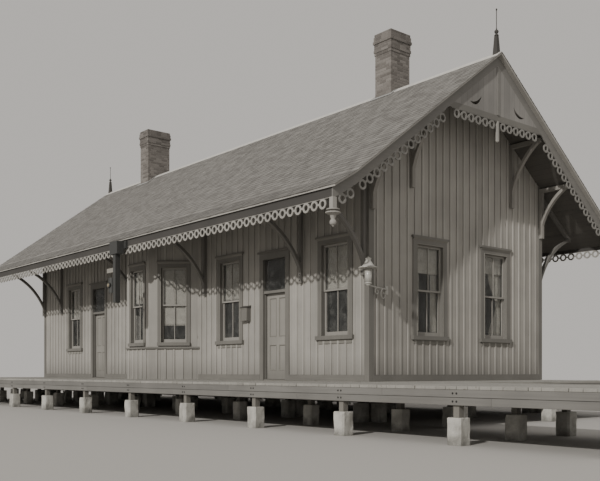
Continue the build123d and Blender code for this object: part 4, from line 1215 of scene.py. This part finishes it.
def bay_battens():
    """Two rows of strips on each of the bay's faces, the upper ones cut under the soffit."""
    corners = []
    for place, half in zip(window_places["bay"], bay_halves):
        x = np.arange(-2, 3) * batten_pitch
        x = x[np.abs(x) < half - bay_edge]
        soffit = roof_height(place[1] + np.sin(np.radians(place[2])) * x, roof_t) - bay_soffit_gap
        for foot, top in ((deck_top, deck_top + bay_ledge_rise), (window_span[1], soffit)):
            low = np.stack([x - batten_w / 2, -batten_t + 0 * x, foot + 0 * x], 1)
            high = np.stack([x + batten_w / 2, 0 * x, top + 0 * x], 1)
            corners.append(blocks_on_wall(low, high, place))
    blocks("bay_battens", np.concatenate(corners), paint["batten"], 0.003, 25, slot="siding")


bay_battens()

# %% [markdown]
# ## Door mouldings and lock plates
#
# A panelled door has a raised moulding round each sunk panel. It is the same mitred ring as at the windows,
# with a section that climbs out of the sinking onto the face. The ring rides on its own door, and so does
# the iron plate behind the knob.

# %% Door mouldings
bolection = [(0.006, 0.100), (0.004, 0.093), (-0.006, 0.093), (-0.014, 0.100), (-0.020, 0.112), (0.0, 0.112)]
leaf_foot = deck_top + 0.027
panel_rows = ((0.22, 0.83), (1.04, 1.97))
panel_columns = ((-0.315, -0.055), (0.055, 0.315))
plate_low, plate_high = (0.343, 0.0965, deck_top + 0.84), (0.383, 0.1, deck_top + 1.00)
for number, middle in enumerate(doors, 1):
    place, leaf = (near_x - middle, track_y, 0), f"door_{number}"
    rings = [on_wall(mitred(x0, x1, leaf_foot + z0, leaf_foot + z1, bolection), place)
             for z0, z1 in panel_rows for x0, x1 in panel_columns]
    shaped(f"{leaf}_mouldings", rings, paint["trim_new"], body=leaf, slot="door_paint")
    blocks(f"{leaf}_lock_plate", blocks_on_wall(plate_low, plate_high, place), iron, 0.001, body=leaf,
           slot="dark_iron")

# %% [markdown]
# ## The corner lamp
#
# The lamp in front of the near corner is tinsmith's work: a saucer, a tapering glass between four thin bars,
# a wide brim that throws the light down and a chimney with a cap. All of it is turned from profiles. The
# forged arm under it rises from a plate on the gable, and two scrolls stiffen it.

# %% Lamp and scrolled arm
lamp_low, lamp_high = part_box("corner_lamp")
lamp_foot = np.array([(lamp_low.x + lamp_high.x) / 2, (lamp_low.y + lamp_high.y) / 2, lamp_low.z])
lamp_sides = 28
lamp_bar_r = 0.004
saucer = [(0, 0), (0.03, 0), (0.055, 0.008), (0.074, 0.022), (0.076, 0.034), (0.066, 0.04), (0, 0.04)]
hood = [(0, 0.338), (0.09, 0.338), (0.10, 0.344), (0.200, 0.342), (0.205, 0.350), (0.198, 0.363),
        (0.135, 0.380), (0.105, 0.420), (0.078, 0.462), (0.056, 0.490), (0.050, 0.520), (0.066, 0.530),
        (0.060, 0.548), (0.030, 0.560), (0.014, 0.572), (0.012, 0.586), (0, 0.588)]
globe = [(0, 0.040), (0.064, 0.040), (0.074, 0.16), (0.086, 0.338), (0, 0.338)]
bar_line = ((0.070, 0.03), (0.080, 0.16), (0.092, 0.342))
bars = [rod([lamp_foot + (r * c, r * s, z) for r, z in bar_line], lamp_bar_r, (-s, c, 0), 6)
        for c, s in ((1, 0), (0, 1), (-1, 0), (0, -1))]
tin = [turned(profile, lamp_foot, lamp_sides) for profile in (saucer, hood)]
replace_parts(shaped("lamp_shell", tin + bars, lamp_tin, slot="lamp_metal", smooth=True), "corner_lamp")
shaped("lamp_globe", [turned(globe, lamp_foot, lamp_sides)], lamp_glass, slot="window_glass", smooth=True)

arm_start = np.array([near_x + 0.035, track_y + 0.51, deck_top + 1.97])
arm_end = lamp_foot - (0, 0, 0.012)
arm_level = (arm_end - arm_start) * (1, 1, 0)
arm_level /= np.linalg.norm(arm_level)
arm_side = np.cross(arm_level, (0, 0, 1))
arm_r = 0.015
scroll_r = (0.013, 0.008)
scroll_points = 40
cup = [(0, -0.026), (0.03, -0.026), (0.046, -0.012), (0.047, 0.0), (0, 0.0)]
arm_plate = upright_corners((near_x, track_y + 0.471, arm_start[2] - 0.104),
                            (near_x + 0.026, track_y + 0.549, arm_start[2] + 0.078))


def scroll(out, drop, first_r, last_r, last_turn):
    """A spiral in the arm's upright plane: from straight up, its radius shrinks evenly with the turn."""
    middle = arm_start + arm_level * out - (0, 0, drop)
    turn = np.radians(np.linspace(90, last_turn, scroll_points))[:, None]
    radius = np.linspace(first_r, last_r, scroll_points)[:, None]
    path = middle + radius * (np.cos(turn) * arm_level + np.sin(turn) * np.array([0, 0, 1.0]))
    return rod(path, np.linspace(*scroll_r, scroll_points), arm_side, 8)


rising_bar = rod(np.linspace(arm_start, arm_end, 12), arm_r, arm_side, 8)
arm_shapes = [rising_bar, scroll(0.15, 0.115, 0.125, 0.022, -330), scroll(0.40, 0.065, 0.085, 0.018, -300),
              turned(cup, lamp_foot, 20), (arm_plate, BLOCK_FACES[None])]
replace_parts(shaped("lamp_forged_arm", arm_shapes, lit_arm_iron, slot="dark_iron"), "corner_lamp_arm")
print("lamp and arm made")

# %% [markdown]
# ## Bolts
#
# Four bolts hold the edge boards to each post, and two hold each bracket's leg to its wall. A head is a low
# dome of a few faces, made once and repeated at every place with one sum of arrays.

# %% Bolt heads
bolt_head = [(0, 0), (0.016, 0), (0.015, 0.005), (0.008, 0.010), (0, 0.011)]
bolt_shift = 0.035
bolt_margin = 0.055
leg_face = 0.09
leg_bolts = (0.07, 0.20)
front_strip = 0.2


def domes(centres, out):
    """Copies of one low dome that faces along Y; out is -1 towards the track and +1 away from it."""
    points, faces = turned(bolt_head, (0, 0, 0), 8)
    one = points.reshape(-1, 3)
    one = np.stack([one[:, 0], out * one[:, 2], one[:, 1]], 1)
    many = np.array(centres)[:, None] + one[None]
    return many, faces.reshape(1, -1, 4) + len(one) * np.arange(len(centres))[:, None, None]


def bolt_heads():
    """Bolts along the platform's front and on the legs of the eave brackets, on both long sides."""
    low, high = boxes_of("platform_posts")
    front = low[:, 1] < low[:, 1].min() + front_strip
    posts = (low[front, 0] + high[front, 0]) / 2
    heights = (stringer_low.z + bolt_margin, stringer_high.z - bolt_margin)
    shapes = [domes([(x + shift, edge_front, z) for x in posts for z in heights
                     for shift in (-bolt_shift, bolt_shift)], -1)]
    legs = {-1: [], 1: []}
    for low, high in zip(*boxes_of("eave_brackets")):
        out = -1 if high[1] < ridge_y else 1
        face = high[1] - leg_face if out < 0 else low[1] + leg_face
        legs[out] += [((low[0] + high[0]) / 2, face, low[2] + rise) for rise in leg_bolts]
    shapes += [domes(centres, out) for out, centres in legs.items()]
    shaped("bolt_heads", shapes, iron, slot="dark_iron")


bolt_heads()
print("bolts set")

# %% [markdown]
# ## Lead round the chimneys
#
# Where a stack meets the roof, sheet lead is dressed over the shingles and keeps the rain out. The strips
# use the shingles' own rule for the roof: a length up the slope and a lift square to it.

# %% Chimney flashing
lead_w, lead_lift, lead_t = 0.13, 0.017, 0.003


def lead_strip(side, x0, x1, u0, u1):
    """One flat strip on a slope between two distances u from the ridge, as the corners of a block."""
    low, high = slope_length - np.array([u1, u0]) / math.cos(main_angle)
    x = np.array([x0, x1, x1, x0] * 2)
    climb = np.array([low, low, high, high] * 2)
    return on_slope(side, x, climb, np.repeat([lead_lift, lead_lift + lead_t], 4))


strips = []
for (cx, cy), (half_x, half_y) in zip(stack_middles, stack_halves):
    x0, x1 = cx - half_x, cx + half_x
    front, rear = ridge_y - (cy - half_y), cy + half_y - ridge_y
    strips.append(lead_strip(-1, x0 - lead_w, x1 + lead_w, front, front + lead_w))
    strips.append(lead_strip(1, x0 - lead_w, x1 + lead_w, rear, rear + lead_w))
    for a, b in ((x0 - lead_w, x0), (x1, x1 + lead_w)):
        strips.append(lead_strip(-1, a, b, 0.0, front))
        strips.append(lead_strip(1, a, b, 0.0, rear))
blocks("chimney_lead", np.array(strips), lead, 0.0, 44, slot="ridge_metal")

# %% [markdown]
# ## Finials, screen strips and the wall box's lid
#
# The last small things: a turned ball on each ridge post and a bead at the tip of its rod, an upright strip
# over the middle joint of each gable screen, and a sloping lid with a framed door on the wall box.

# %% Small turned and boarded pieces
knob = [(0, -0.012), (0.045, -0.012), (0.052, -0.002), (0.046, 0.012), (0.026, 0.022), (0.022, 0.036),
        (0.042, 0.056), (0.050, 0.082), (0.042, 0.108), (0.018, 0.128), (0.012, 0.16), (0, 0.162)]
knob_z = ridge_z + 0.42
tip_bead = [(0, -0.05), (0.011, -0.045), (0.020, -0.02), (0.016, -0.006), (0, 0)]
bead_sink = 0.002
turnings = []
for low, high in zip(*boxes_of("finials")):
    x, y = (low[:2] + high[:2]) / 2
    turnings += [turned(knob, (x, y, knob_z), 20), turned(tip_bead, (x, y, high[2] - bead_sink), 14)]
shaped("finial_turnings", turnings, paint["dark"], slot="dark_trim", smooth=True)

screen_low, screen_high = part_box("gable_screens")
strip_w, strip_t, strip_gap = 0.09, 0.018, 0.04
strip_y0, strip_y1 = ridge_y - strip_w / 2, ridge_y + strip_w / 2
low = [(x, strip_y0, screen_low.z) for x in (rake_near_x, rake_far_x - strip_t)]
high = [(x, strip_y1, screen_high.z - strip_gap) for x in (rake_near_x + strip_t, rake_far_x)]
blocks("screen_strips", upright_corners(low, high), paint["rake"], 0.003, 45, slot="siding")

box_low, box_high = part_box("wall_box")
lid_side, lid_front, lid_t, lid_fall = 0.012, 0.02, 0.012, 0.05
lid = upright_corners((box_low.x - lid_side, box_low.y - lid_front, box_high.z),
                      (box_high.x + lid_side, box_high.y, box_high.z + lid_t))
lid[:, [6, 7], 2] += lid_fall
blocks("wall_box_lid", lid, paint["dark"], 0.002, 46, slot="dark_trim")
box_frame, box_frame_w, box_frame_t = 0.03, 0.018, 0.010
box_front = box_low.y - box_frame_t
ring = mitred(box_low.x + box_frame, box_high.x - box_frame, box_low.z + box_frame, box_high.z - box_frame,
              [(0.0, box_low.y), (0.0, box_front), (box_frame_w, box_front), (box_frame_w, box_low.y)])
shaped("wall_box_frame", [ring], paint["trim_new"], slot="dark_trim")

# %% [markdown]
# ## The signal's blade and lenses
#
# The signal at the eave carries a short blade, and a lamp with one lens along the track and one across it. A
# lens is a low dome in a ring, turned about an upright axis and then laid on its side.

# %% Blade and lenses
signal_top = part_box("order_signal")[1].z
signal_x = near_x - 7.35
signal_y = track_y - 2.075
lamp_middle = np.array([signal_x - 0.25, signal_y, signal_top - 1.13])
lamp_face = 0.09
lens_ring = [(0, -0.02), (0.075, -0.02), (0.075, 0.03), (0.062, 0.034), (0.058, 0.022), (0, 0.022)]
lens = [(0, 0.022), (0.056, 0.022), (0.045, 0.036), (0.025, 0.044), (0, 0.046)]


def facing(profile, ahead):
    """A turned profile laid on its side on the signal's lamp, with its axis pointing ahead."""
    points, faces = turned(profile, (0, 0, 0), 20)
    p = points.reshape(-1, 3)
    ahead = np.array(ahead, float)
    out = lamp_middle + ahead * (lamp_face + p[:, 2:3])
    return out + np.cross((0, 0, 1), ahead) * p[:, :1] + p[:, 1:2] * (0, 0, 1), faces


blade = upright_corners((signal_x - 0.525, signal_y - 0.018, signal_top - 0.784),
                        (signal_x - 0.073, signal_y + 0.018, signal_top - 0.666))
blocks("signal_blade", blade, paint["trim_new"], 0.004, 47, slot="signal_metal")
for name, profile, material, slot in (("signal_lens_rings", lens_ring, signal_paint, "signal_metal"),
                                      ("signal_lenses", lens, signal_glass, "window_glass")):
    pair = [facing(profile, ahead) for ahead in ((-1, 0, 0), (0, -1, 0))]
    shaped(name, pair, material, slot=slot, smooth=True)
print("signal dressed")
